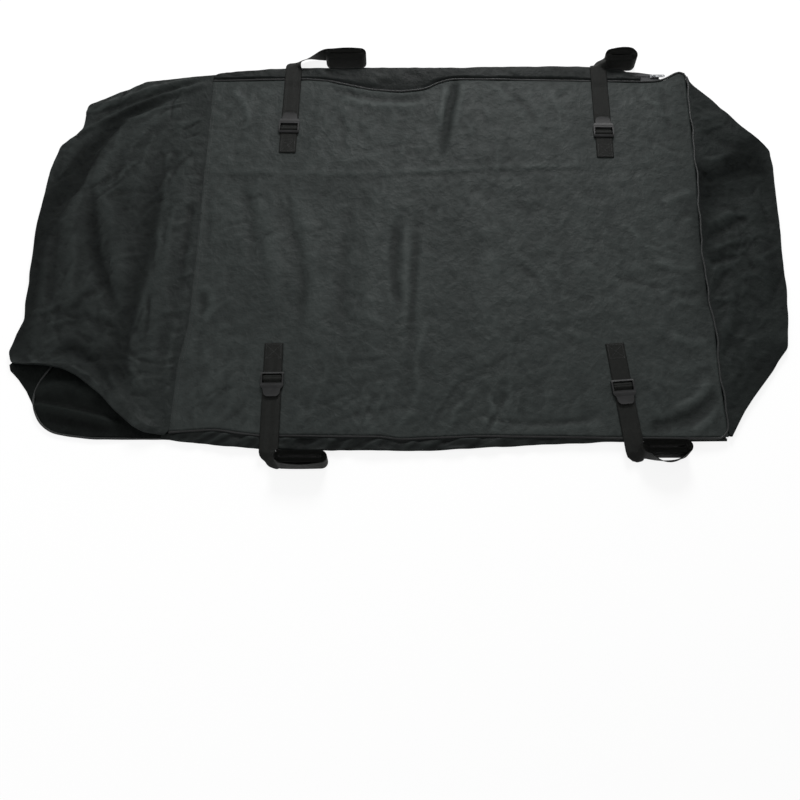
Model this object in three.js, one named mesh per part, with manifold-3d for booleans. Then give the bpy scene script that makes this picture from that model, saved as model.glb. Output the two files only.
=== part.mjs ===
// Roof cargo bag, laid out flat and empty. Millimetres, +Z up.
// The origin is the centre of the base panel on the ground. -X is the raked front, +X the rear,
// +Y the right side with the zip. The side walls are tucked in between the top and the base, and
// the front and rear walls lie outward and fold back under, as the bag lies before it is folded up.

import * as THREE from "three";
import { mergeVertices } from "three/addons/utils/BufferGeometryUtils.js";
import Module from "manifold-3d";

const wasm = await Module();
wasm.setup();

// Driving dimensions of the bag
const BASE_LENGTH = 1220;
const TOP_LENGTH = 1100;
const WIDTH = 880;
const HEIGHT = 432;
const FRONT_LAP = 342; // front wall from the top's seam out to its fold
const LIP = 32; // side wall that lies outside the top's edge
const CORNER_FRONT = 182; // front fold to the end of its slanted corner, along X
const CORNER_REAR = 160;
const CORNER_ACROSS = 196; // the same slanted corners, along Y
const PANEL = 1.6; // top and base panel
const CLOTH = 1.2; // walls and flap
const AIR = 0.35; // clearance between pieces that touch
const FOLD_LOFT = 6; // air that the lip's fold holds under the top
const PIPING = 4.6; // diameter of the piped edge
const PIPED_CORNER = 22; // radius of the top's and base's corners

// Driving dimensions of the webbing and its buckles
const WEBBING_WIDTH = 38;
const WEBBING = 1.4;
const SELVEDGE = 0.6; // the webbing thins to its edges over this width
const STRAP_LENGTH = 1400;
const ROLL_AIR = 0.55; // between the turns of a strap roll
const RAIL = 3.2; // side rail of the buckle
const END_BAR = 5;
const REAR_SLOT = 6;
const MIDDLE_BAR = 5;
const FRONT_SLOT = 9;
const CROSSBAR = 6;
const THUMB_TAB = 24;
const BAR_HEIGHT = 2.2;
const RAIL_HEIGHT = 6.2;
const TAB_THICKNESS = 2.4;
const TAB_RISE = 2.6;
const TAB_LIP = 1; // half the thickness of the tab's rounded end
const REST_LOFT = 0.6; // past the buckle, which holds it down, the webbing lies this much higher

// Driving dimensions of the zip
const ZIP_FRONT = -360;
const ZIP_REAR = 665;
const FLAP_SHORT = 55; // how far the flap ends short of the zip
const TAPE = 0.8;
const CHAIN_WIDTH = 6.4;
const CHAIN = 2.4;
const SLIDER_LENGTH = 14;
const PLATE = 1.2;
const BRIDGE = 0.8;
const PULL_LENGTH = 27;
const PULL_WIDTH = 7;
const PULL = 1.3;
const PULL_EYE = 1.7; // radius of the eye at the pull's end
const STOP_LENGTH = 4;
const STOP_WALL = 0.8;
const WEDGE_REAR = 1.6; // half width of the slider's wedge at its rear end, and at its nose
const WEDGE_NOSE = 0.5;
const WEDGE_LENGTH = 3.2;

// Places worked out from the driving dimensions
const frontWall = Math.hypot(HEIGHT, BASE_LENGTH - TOP_LENGTH);
const frontFold = -BASE_LENGTH / 2 - (frontWall - FRONT_LAP);
const frontSeam = frontFold + FRONT_LAP;
const topRear = frontSeam + TOP_LENGTH;
const rearFold = (topRear + BASE_LENGTH / 2 + HEIGHT) / 2;
const halfWidth = WIDTH / 2;
const lipEdge = halfWidth + LIP;
const tuckEdge = (lipEdge + LIP + halfWidth - HEIGHT) / 2;
const edgeGap = PIPING + 2 * AIR;

// Heights of the layers
const lowerLeaf = PANEL + AIR + CLOTH / 2;
const middleLeaf = Math.max(PIPING, lowerLeaf + CLOTH / 2) + AIR + CLOTH / 2;
const topUnder = middleLeaf + CLOTH / 2 + FOLD_LOFT;
const topFace = topUnder + PANEL;
const upperLeaf = topUnder + CLOTH / 2;

const materials = {
  fabric: { color: 0x35393a, roughness: 0.82, metalness: 0 },
  piping: { color: 0x222525, roughness: 0.7, metalness: 0 },
  webbing: { color: 0x1f201e, roughness: 0.75, metalness: 0 },
  plastic: { color: 0x1b1c1d, roughness: 0.42, metalness: 0 },
  tape: { color: 0x1c1d1f, roughness: 0.8, metalness: 0 },
  metal: { color: 0x8c8f92, roughness: 0.35, metalness: 0.9 },
};

const bag = new THREE.Group();

function add(name, geometry, material, parent = bag) {
  const mesh = new THREE.Mesh(geometry, new THREE.MeshStandardMaterial(materials[material]));
  mesh.name = name;
  parent.add(mesh);
  return mesh;
}

// Solids for joining and cutting
function solid(geometry) {
  const bare = geometry.index ? geometry.toNonIndexed() : geometry.clone();
  bare.deleteAttribute("normal");
  bare.deleteAttribute("uv");
  const merged = mergeVertices(bare, 1e-4);
  return new wasm.Manifold(
    new wasm.Mesh({
      numProp: 3,
      vertProperties: new Float32Array(merged.attributes.position.array),
      triVerts: new Uint32Array(merged.index.array),
    }),
  );
}

function surface(manifold) {
  const mesh = manifold.getMesh();
  const geometry = new THREE.BufferGeometry();
  geometry.setAttribute("position", new THREE.BufferAttribute(mesh.vertProperties, 3));
  geometry.setIndex(new THREE.BufferAttribute(mesh.triVerts, 1));
  return geometry;
}

function plate(shape, bottom, top, curveSegments = 8) {
  const options = { depth: top - bottom, bevelEnabled: false, curveSegments };
  return new THREE.ExtrudeGeometry(shape, options).translate(0, 0, bottom);
}

// A section drawn in the X-Z plane, carried across Y from -half to +half
function crosswise(shape, half, curveSegments = 8) {
  const options = { depth: 2 * half, bevelEnabled: false, curveSegments };
  const geometry = new THREE.ExtrudeGeometry(shape, options);
  return geometry.rotateX(Math.PI / 2).translate(0, half, 0);
}

// A section drawn in the Y-Z plane, carried along X from start to end
function lengthwise(shape, start, end, curveSegments = 8) {
  const options = { depth: end - start, bevelEnabled: false, curveSegments };
  const geometry = new THREE.ExtrudeGeometry(shape, options);
  const turn = new THREE.Matrix4().set(0, 0, 1, start, 1, 0, 0, 0, 0, 1, 0, 0, 0, 0, 0, 1);
  return geometry.applyMatrix4(turn);
}

// The outline of a sheet of even thickness that follows a line of [across, up] points
function sheetSection(line, thickness) {
  const points = line.map(([a, b]) => new THREE.Vector2(a, b));
  const sides = [[], []];
  points.forEach((point, i) => {
    const back = point.clone().sub(points[Math.max(i - 1, 0)]).normalize();
    const ahead = points[Math.min(i + 1, points.length - 1)].clone().sub(point).normalize();
    const along = back.add(ahead).normalize();
    const across = new THREE.Vector2(-along.y, along.x);
    const before = i > 0 ? point.clone().sub(points[i - 1]).normalize() : along;
    const stretch = thickness / 2 / Math.max(0.6, along.dot(before));
    sides[0].push(point.clone().addScaledVector(across, stretch));
    sides[1].push(point.clone().addScaledVector(across, -stretch));
  });
  return new THREE.Shape([...sides[0], ...sides[1].reverse()]);
}

// Points of a half-circle fold from one leaf to the next; side is +1 where it bulges outward
function foldPoints(across, from, to, side, count = 8) {
  const radius = (to - from) / 2;
  return Array.from({ length: count + 1 }, (_, i) => {
    const angle = (Math.PI * i) / count;
    const bulge = side * Math.abs(radius) * Math.sin(angle);
    return [across + bulge, (from + to) / 2 - radius * Math.cos(angle)];
  });
}

function roundedRectangle(left, right, half, radius) {
  const shape = new THREE.Shape();
  shape.moveTo(left + radius, -half);
  shape.lineTo(right - radius, -half);
  shape.absarc(right - radius, -half + radius, radius, -Math.PI / 2, 0, false);
  shape.lineTo(right, half - radius);
  shape.absarc(right - radius, half - radius, radius, 0, Math.PI / 2, false);
  shape.lineTo(left + radius, half);
  shape.absarc(left + radius, half - radius, radius, Math.PI / 2, Math.PI, false);
  shape.lineTo(left, -half + radius);
  shape.absarc(left + radius, -half + radius, radius, Math.PI, 1.5 * Math.PI, false);
  return shape;
}

// Base panel
const baseShape = roundedRectangle(-BASE_LENGTH / 2, BASE_LENGTH / 2, halfWidth, PIPED_CORNER);
add("base_panel", plate(baseShape, 0, PANEL), "fabric");

// Top panel: square at the flat front seam, round at the piped rear corners
const topShape = new THREE.Shape();
topShape.moveTo(frontSeam, -halfWidth);
topShape.lineTo(topRear - PIPED_CORNER, -halfWidth);
topShape.absarc(topRear - PIPED_CORNER, -halfWidth + PIPED_CORNER, PIPED_CORNER, -Math.PI / 2, 0, false);
topShape.lineTo(topRear, halfWidth - PIPED_CORNER);
topShape.absarc(topRear - PIPED_CORNER, halfWidth - PIPED_CORNER, PIPED_CORNER, 0, Math.PI / 2, false);
topShape.lineTo(frontSeam, halfWidth);
add("top_panel", plate(topShape, topUnder, topFace), "fabric");

// End walls: a sheet that lies outward from the top's edge and folds back to the base's edge,
// with the slanted corners that its fold leaves
function endWall(name, topEdge, fold, baseEdge, cornerLength) {
  const outward = Math.sign(fold - topEdge);
  const bend = (upperLeaf - CLOTH / 2) / 2;
  const foldStart = fold - outward * (bend + CLOTH / 2);
  const line = [
    [topEdge, upperLeaf],
    ...foldPoints(foldStart, upperLeaf, CLOTH / 2, outward),
    [baseEdge, CLOTH / 2],
  ];
  const folded = solid(crosswise(sheetSection(line, CLOTH), halfWidth));
  const inside = Math.min(topEdge * outward, baseEdge * outward) - 10;
  const corner = Math.abs(fold) - cornerLength;
  const outline = new THREE.Shape([
    new THREE.Vector2(inside, -halfWidth - 1),
    new THREE.Vector2(corner, -halfWidth - 1),
    new THREE.Vector2(Math.abs(fold) + 1, -halfWidth + CORNER_ACROSS),
    new THREE.Vector2(Math.abs(fold) + 1, halfWidth - CORNER_ACROSS),
    new THREE.Vector2(corner, halfWidth + 1),
    new THREE.Vector2(inside, halfWidth + 1),
  ]);
  const cutter = plate(outline, -5, topFace + 5);
  if (outward < 0) cutter.rotateZ(Math.PI);
  add(name, surface(folded.intersect(solid(cutter))), "fabric");
}

endWall("front_panel", frontSeam - AIR, frontFold, -BASE_LENGTH / 2 - edgeGap, CORNER_FRONT);
endWall("rear_panel", topRear + edgeGap, rearFold, BASE_LENGTH / 2 + edgeGap, CORNER_REAR);

// Side walls: a sheet folded like an S, from the base's edge in to the tuck, out to the lip and
// back to the top's edge. On the right the last leaf is short and carries the zip.
const sideFront = frontFold + CORNER_FRONT + 14;
const sideRear = topRear - PIPED_CORNER;
const tuckBend = (middleLeaf - lowerLeaf) / 2 + CLOTH / 2;

function sideWall(name, side, lastLeaf, lastEdge) {
  const lipBend = (lastLeaf - middleLeaf) / 2 + CLOTH / 2;
  const line = [
    [halfWidth, lowerLeaf],
    ...foldPoints(tuckEdge + tuckBend, lowerLeaf, middleLeaf, -1),
    ...foldPoints(lipEdge - lipBend, middleLeaf, lastLeaf, 1),
    [lastEdge, lastLeaf],
  ];
  const sheet = solid(lengthwise(sheetSection(line, CLOTH), sideFront, sideRear));
  // The lower leaf is sewn to the base, so it ends where the base does
  const baseSideEnd = BASE_LENGTH / 2 - PIPED_CORNER;
  const clear = middleLeaf - CLOTH / 2 - 0.05;
  const past = new THREE.BoxGeometry(sideRear - baseSideEnd + 1, WIDTH, clear);
  past.translate((sideRear + 1 + baseSideEnd) / 2, halfWidth, clear / 2);
  const right = sheet.subtract(solid(past));
  add(name, surface(side > 0 ? right : right.mirror([0, 1, 0])), "fabric");
}

// Zip: both tapes with their coils, lying in the right lip
const sliderHalf = CHAIN / 2 + AIR + PLATE;
const chainHeight = middleLeaf + CLOTH / 2 + AIR + sliderHalf;
const sliderWidth = CHAIN_WIDTH + 2 * (PLATE + AIR) + 1;
const chainCentre = halfWidth + edgeGap + 4 + sliderWidth / 2;
const zipLeaf = chainHeight - TAPE / 2 - AIR - CLOTH / 2;
const zipLeafEdge = chainCentre + sliderWidth / 2 + AIR;
const sliderPlace = ZIP_REAR - STOP_LENGTH - 1 - SLIDER_LENGTH / 2;

const wedgeInset = 0.2; // the wedge stops short of the slider's end and faces

// The wedge at the slider's rear end, where the two coils come in apart
function wedgePlan(room) {
  const rear = SLIDER_LENGTH / 2 - wedgeInset;
  const nose = rear - WEDGE_LENGTH;
  return new THREE.Shape([
    new THREE.Vector2(rear + room, -WEDGE_REAR - room),
    new THREE.Vector2(rear + room, WEDGE_REAR + room),
    new THREE.Vector2(nose - room, WEDGE_NOSE + room),
    new THREE.Vector2(nose - room, -WEDGE_NOSE - room),
  ]);
}

// The coils' room round that wedge, with the slider closed
const parted = plate(wedgePlan(AIR), -CHAIN, CHAIN).translate(sliderPlace, chainCentre, chainHeight);

sideWall("left_side_panel", -1, upperLeaf, halfWidth + edgeGap);
sideWall("right_side_panel", 1, zipLeaf, zipLeafEdge);

const tapeRoot = topUnder - AIR - TAPE / 2;
const upperTapeLine = [
  [halfWidth - 9, tapeRoot],
  [halfWidth - 2, tapeRoot],
  [halfWidth + 3, chainHeight],
  [chainCentre - AIR / 2, chainHeight],
];
const lowerTapeLine = [
  [chainCentre + AIR / 2, chainHeight],
  [lipEdge - 3, chainHeight],
];

function zipHalf(name, line, side) {
  const tape = solid(lengthwise(sheetSection(line, TAPE), ZIP_FRONT, ZIP_REAR));
  const inner = chainCentre + (side * AIR) / 2;
  const outer = chainCentre + (side * CHAIN_WIDTH) / 2;
  const section = new THREE.Shape([
    new THREE.Vector2(inner, chainHeight - CHAIN / 2),
    new THREE.Vector2(outer, chainHeight - CHAIN / 2 + 0.5),
    new THREE.Vector2(outer, chainHeight + CHAIN / 2 - 0.5),
    new THREE.Vector2(inner, chainHeight + CHAIN / 2),
  ]);
  const coil = solid(lengthwise(section, ZIP_FRONT, ZIP_REAR));
  add(name, surface(tape.add(coil).subtract(solid(parted))), "tape");
}

zipHalf("zip_tape_upper", upperTapeLine, -1);
zipHalf("zip_tape_lower", lowerTapeLine, 1);

// Stops: a metal clip round both coils at each end of the zip
function zipStop(name, end) {
  const toEnd = Math.sign(end);
  const inside = { wide: CHAIN_WIDTH + 2 * AIR, high: CHAIN + 2 * AIR };
  const outside = { wide: CHAIN_WIDTH + 3, high: inside.high + 2 * STOP_WALL };
  const outer = new THREE.BoxGeometry(STOP_LENGTH, outside.wide, outside.high);
  const inner = new THREE.BoxGeometry(STOP_LENGTH + 2, inside.wide, inside.high);
  const slit = new THREE.BoxGeometry(STOP_LENGTH + 2, outside.wide + 2, TAPE + 2 * AIR);
  const clip = solid(outer).subtract(solid(inner)).subtract(solid(slit));
  const closing = new THREE.BoxGeometry(1.5 * STOP_WALL, outside.wide, outside.high);
  closing.translate(toEnd * (STOP_LENGTH + STOP_WALL) / 2, 0, 0);
  const place = end - toEnd * (STOP_LENGTH / 2 - STOP_WALL / 4 - AIR);
  add(name, surface(clip.add(solid(closing)).translate([place, chainCentre, chainHeight])), "metal");
}

zipStop("zip_stop_front", ZIP_FRONT);
zipStop("zip_stop_rear", ZIP_REAR);

// Slider: two plates that hold the coils, flanges that leave a slit for the tapes, the wedge that
// parts the coils, and the bridge that carries the pull
const zipBody = new THREE.Group();
zipBody.position.set(sliderPlace, chainCentre, chainHeight);
bag.add(zipBody);

const bridgeHeight = 2 * AIR + PULL;
const bridgeInside = 2.3;
const bridgeFoot = 1.5;
const bridgeWidth = 2.4;

function sliderPlan(half) {
  const nose = sliderWidth / 2 - 1.2;
  const shape = new THREE.Shape();
  shape.moveTo(-half, -nose);
  shape.quadraticCurveTo(0, -nose + 0.6, half * 0.35, -sliderWidth / 2);
  shape.lineTo(half * 0.7, -sliderWidth / 2);
  shape.quadraticCurveTo(half, -sliderWidth / 2, half, -sliderWidth / 4);
  shape.lineTo(half, sliderWidth / 4);
  shape.quadraticCurveTo(half, sliderWidth / 2, half * 0.7, sliderWidth / 2);
  shape.lineTo(half * 0.35, sliderWidth / 2);
  shape.quadraticCurveTo(0, nose - 0.6, -half, nose);
  return shape;
}

function bridgeArch() {
  const foot = bridgeInside + bridgeFoot;
  const top = bridgeHeight + BRIDGE;
  const arch = new THREE.Shape();
  arch.moveTo(-foot, -0.4);
  arch.lineTo(-bridgeInside, -0.4);
  arch.lineTo(-bridgeInside, bridgeHeight);
  arch.lineTo(bridgeInside, bridgeHeight);
  arch.lineTo(bridgeInside, -0.4);
  arch.lineTo(foot, -0.4);
  arch.lineTo(foot, bridgeHeight);
  arch.quadraticCurveTo(foot, top, foot - 1, top);
  arch.lineTo(1 - foot, top);
  arch.quadraticCurveTo(-foot, top, -foot, bridgeHeight);
  return arch;
}

function zipSlider() {
  const block = solid(plate(sliderPlan(SLIDER_LENGTH / 2), -sliderHalf, sliderHalf, 5));
  const channel = new THREE.BoxGeometry(SLIDER_LENGTH + 2, CHAIN_WIDTH + 2 * AIR, CHAIN + 2 * AIR);
  const slit = new THREE.BoxGeometry(SLIDER_LENGTH + 2, sliderWidth + 2, TAPE + 2 * AIR);
  const bridge = crosswise(bridgeArch(), bridgeWidth / 2, 4).translate(0, 0, sliderHalf);
  return solid(bridge)
    .add(block.subtract(solid(channel)).subtract(solid(slit)))
    .add(solid(plate(wedgePlan(0), wedgeInset - sliderHalf, sliderHalf - wedgeInset)));
}

add("zip_slider", surface(zipSlider()), "metal", zipBody);

// Pull tab: its end bar lies in the bridge, and its window clears the bridge's foot
const pullHeight = sliderHalf + AIR + PULL / 2;
function zipPull() {
  const near = PULL / 2;
  const far = bridgeInside + bridgeFoot + 1.6;
  const side = bridgeWidth / 2 + 0.7;
  const half = PULL_WIDTH / 2;
  const blank = new THREE.Shape();
  blank.moveTo(-near, -half);
  blank.lineTo(PULL_LENGTH - half, -half);
  blank.absarc(PULL_LENGTH - half, 0, half, -Math.PI / 2, Math.PI / 2, false);
  blank.lineTo(-near, half);
  const window = new THREE.Path();
  window.moveTo(near, -side);
  window.lineTo(near, side);
  window.lineTo(far, side);
  window.lineTo(far, -side);
  const eye = new THREE.Path();
  eye.absarc(PULL_LENGTH - half - 0.6, 0, PULL_EYE, 0, 2 * Math.PI, true);
  blank.holes.push(window, eye);
  return plate(blank, pullHeight - PULL / 2, pullHeight + PULL / 2, 6);
}

add("zip_pull", zipPull(), "metal", zipBody);

// Storm flap: sewn in at the right edge of the top, it lies over the zip and drops at its edge
const flapUnder = chainHeight + sliderHalf + bridgeHeight + BRIDGE + AIR;
const flapHeight = flapUnder + CLOTH / 2;
const flapRoot = halfWidth + edgeGap + AIR; // clear of the piping
const flapLine = [
  [flapRoot, upperLeaf],
  [flapRoot + 2.6, flapHeight],
  [lipEdge - 9, flapHeight],
  [lipEdge - 2, flapHeight - 1.6],
];
const flapSection = sheetSection(flapLine, CLOTH);
add("storm_flap", lengthwise(flapSection, ZIP_FRONT + FLAP_SHORT, ZIP_REAR - FLAP_SHORT), "fabric");

// Piping: a covered cord along the top's left, rear and right edges, and one round the base
const pipingOff = PIPING / 2 + AIR;

function pipedPath(left, right, height, open) {
  const radius = PIPED_CORNER + pipingOff;
  const half = halfWidth + pipingOff;
  const turns = [
    [right + pipingOff - radius, -half + radius, -90],
    [right + pipingOff - radius, half - radius, 0],
    [left - pipingOff + radius, half - radius, 90],
    [left - pipingOff + radius, -half + radius, 180],
  ];
  const spots = [];
  turns.slice(0, open ? 2 : 4).forEach(([x, y, from]) => {
    for (let step = 0; step <= 6; step += 1) {
      const angle = THREE.MathUtils.degToRad(from + step * 15);
      spots.push([x + radius * Math.cos(angle), y + radius * Math.sin(angle)]);
    }
  });
  const join = (left + right) / 2;
  const first = open ? [left, -half] : [join + AIR, -half];
  const last = open ? [left, half] : [join - AIR, -half];
  return [first, ...spots, last].map(([x, y]) => new THREE.Vector3(x, y, height));
}

// A closed solid along a row of points. The section's first axis keeps to the width direction
// given at each point, its second is square to that and to the path, and both ends are capped.
function loft(points, widths, section) {
  const positions = [];
  points.forEach((point, i) => {
    const behind = points[Math.max(i - 1, 0)];
    const ahead = points[Math.min(i + 1, points.length - 1)];
    const before = point.clone().sub(i > 0 ? behind : point).normalize();
    const after = ahead.clone().sub(point).normalize();
    const along = before.clone().add(after).normalize();
    const width = widths[i].clone().addScaledVector(along, -widths[i].dot(along)).normalize();
    const depth = along.clone().cross(width);
    const inner = i > 0 && i < points.length - 1;
    const turning = after.clone().sub(before);
    const bent = inner && turning.length() > 1e-6;
    if (bent) turning.normalize();
    section.forEach(([a, b]) => {
      const offset = width.clone().multiplyScalar(a).addScaledVector(depth, b);
      if (bent) offset.addScaledVector(turning, offset.dot(turning) * (1 / along.dot(after) - 1));
      positions.push(...point.clone().add(offset).toArray());
    });
  });
  const sides = section.length;
  const last = (points.length - 1) * sides;
  const index = [];
  for (let i = 0; i < last; i += sides) {
    for (let j = 0; j < sides; j += 1) {
      const a = i + j;
      const b = i + ((j + 1) % sides);
      index.push(a, b, b + sides, a, b + sides, a + sides);
    }
  }
  for (let j = 1; j < sides - 1; j += 1) {
    index.push(0, j + 1, j, last, last + j, last + j + 1);
  }
  const geometry = new THREE.BufferGeometry();
  geometry.setAttribute("position", new THREE.Float32BufferAttribute(positions, 3));
  geometry.setIndex(index);
  return geometry;
}

// A tube of round section through points that lie level
function levelTube(points, sides = 8) {
  const section = Array.from({ length: sides }, (_, i) => {
    const angle = (2 * Math.PI * (i + 0.5)) / sides;
    return [Math.cos(angle) * (PIPING / 2), Math.sin(angle) * (PIPING / 2)];
  });
  return loft(points, points.map(() => new THREE.Vector3(0, 0, 1)), section);
}

add("top_piping", levelTube(pipedPath(frontSeam, topRear, topUnder + PANEL / 2, true)), "piping");
const baseEnd = BASE_LENGTH / 2;
const baseCord = levelTube(pipedPath(-baseEnd, baseEnd, (PIPING / 2) * Math.cos(Math.PI / 8), false));
add("base_piping", baseCord, "piping");

// Ladder-lock buckle, in the strap's own frame: X across the webbing, Y along it towards the bag's
// edge, Z up from the top panel. Its Y starts at the outer face of the end bar.
const barUnder = AIR + WEBBING + AIR;
const slotHalf = WEBBING_WIDTH / 2 + 0.6;
const buckleHalf = slotHalf + RAIL;
const middleBar = END_BAR + REAR_SLOT;
const crossbar = middleBar + MIDDLE_BAR + FRONT_SLOT;
const frameEnd = crossbar + CROSSBAR;
const buckleLength = frameEnd + THUMB_TAB;

// A section drawn in the strap's Y-Z plane, carried across X
function acrossStrap(shape, half, curveSegments = 6) {
  return lengthwise(shape, -half, half, curveSegments);
}

function buckleProfile() {
  const shape = new THREE.Shape();
  const top = RAIL_HEIGHT;
  const tabEnd = buckleLength - TAB_LIP;
  const tabUnder = barUnder + TAB_RISE;
  shape.moveTo(1.2, AIR);
  shape.lineTo(frameEnd - 1, AIR);
  shape.quadraticCurveTo(frameEnd + 1, barUnder, frameEnd + 6, barUnder + 0.2);
  shape.quadraticCurveTo(buckleLength - 6, barUnder + 0.6, tabEnd, tabUnder);
  shape.quadraticCurveTo(tabEnd + 1.6, tabUnder + TAB_LIP, tabEnd, tabUnder + 2 * TAB_LIP);
  shape.quadraticCurveTo(buckleLength - 8, barUnder + TAB_THICKNESS + 1.2, frameEnd + 6, top - 0.6);
  shape.quadraticCurveTo(frameEnd + 1, top + 0.5, frameEnd - 3, top);
  shape.lineTo(END_BAR + 2, top);
  shape.quadraticCurveTo(0, top - 0.4, 0, barUnder + 1);
  shape.quadraticCurveTo(0, AIR, 1.2, AIR);
  return shape;
}

function bucklePlan() {
  const tabHalf = buckleHalf * 0.74;
  const shape = new THREE.Shape();
  shape.moveTo(-buckleHalf + 4, -1);
  shape.lineTo(buckleHalf - 4, -1);
  shape.quadraticCurveTo(buckleHalf, -1, buckleHalf, 4);
  shape.lineTo(buckleHalf, frameEnd - 2);
  shape.quadraticCurveTo(buckleHalf, frameEnd + 3, tabHalf + 1.5, frameEnd + 6);
  shape.quadraticCurveTo(tabHalf, frameEnd + 8, tabHalf, frameEnd + 11);
  shape.quadraticCurveTo(tabHalf, buckleLength + 1, 0, buckleLength + 1);
  shape.quadraticCurveTo(-tabHalf, buckleLength + 1, -tabHalf, frameEnd + 11);
  shape.quadraticCurveTo(-tabHalf, frameEnd + 8, -tabHalf - 1.5, frameEnd + 6);
  shape.quadraticCurveTo(-buckleHalf, frameEnd + 3, -buckleHalf, frameEnd - 2);
  shape.lineTo(-buckleHalf, 4);
  shape.quadraticCurveTo(-buckleHalf, -1, -buckleHalf + 4, -1);
  return shape;
}

function barSection(start, length, under, height, round) {
  const shape = new THREE.Shape();
  shape.moveTo(start + round, under);
  shape.lineTo(start + length - round, under);
  shape.quadraticCurveTo(start + length, under, start + length, under + round);
  shape.lineTo(start + length, under + height - round);
  shape.quadraticCurveTo(start + length, under + height, start + length - round, under + height);
  shape.lineTo(start + round, under + height);
  shape.quadraticCurveTo(start, under + height, start, under + height - round);
  shape.lineTo(start, under + round);
  shape.quadraticCurveTo(start, under, start + round, under);
  return shape;
}

function buckle() {
  const profile = solid(acrossStrap(buckleProfile(), buckleHalf + 1));
  const frame = profile.intersect(solid(plate(bucklePlan(), -1, RAIL_HEIGHT + 4)));
  const pass = acrossStrap(barSection(-2, buckleLength + 4, -2, barUnder + 2, 0.1), slotHalf);
  const window = acrossStrap(barSection(END_BAR, crossbar - END_BAR, -1, RAIL_HEIGHT + 3, 0.8), slotHalf);
  const bar = acrossStrap(barSection(middleBar, MIDDLE_BAR, barUnder, BAR_HEIGHT, 0.7), slotHalf + 0.5);
  const tooth = new THREE.Shape([
    new THREE.Vector2(crossbar + 0.6, barUnder + 0.1),
    new THREE.Vector2(crossbar + 0.6, barUnder + 2.6),
    new THREE.Vector2(crossbar - 0.9, barUnder + 0.1),
  ]);
  return frame
    .subtract(solid(pass))
    .subtract(solid(window))
    .add(solid(bar))
    .add(solid(acrossStrap(tooth, slotHalf - 1.5)));
}

// Straps. Each is one webbing: sewn to the top at its inner end, it runs under the buckle's end
// bar, over its middle bar and down under the crossbar, crosses the bag's edge, turns on edge and
// ends in a flattened roll that stands on the ground beside the bag. Measured from the sewn end,
// turn is in degrees towards the rear; the roll lies rearward, by its gap from the lip.
const strapTable = [
  // name, side, x, sewnAt, buckleAt, turn, roll, beyond, gap
  ["left_front", -1, -192, 240, 65, 0.4, 104, 3, 7],
  ["left_rear", -1, 500, 240, 82, 4.7, 98, 3, 7],
  ["right_front", 1, -188, 235, 53, 1.2, 95, 55, 15],
  ["right_rear", 1, 522, 222, 54, 0.8, 76, 8, 7],
];
const straps = strapTable.map(([name, side, x, sewnAt, buckleAt, turn, roll, beyond, gap]) => {
  return { name, side, x, sewnAt, buckleAt, turn, roll, beyond, gap };
});
const turnRadius = 7;
const arcSteps = 6;
const pitch = WEBBING + ROLL_AIR;
const innerRadius = 1.5;

function smooth(from, to, at) {
  const t = Math.min(1, Math.max(0, (at - from) / (to - from)));
  return t * t * (3 - 2 * t);
}

// Length of webbing in a roll of the given outer radius
function rolledLength(radius, roll) {
  const straight = roll - 2 * radius - WEBBING;
  let length = 0;
  for (let r = radius; r > innerRadius; r -= pitch / 2) length += straight + Math.PI * r;
  return length;
}

function strapFrame(strap) {
  const turn = THREE.MathUtils.degToRad(strap.turn);
  const along = new THREE.Vector3(Math.sin(turn), strap.side * Math.cos(turn), 0);
  const across = new THREE.Vector3(-along.y, along.x, 0);
  const sewn = new THREE.Vector3(strap.x, strap.side * strap.sewnAt, 0);
  return { along, across, sewn, slant: Math.cos(turn), skew: Math.tan(Math.abs(turn)) };
}

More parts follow.
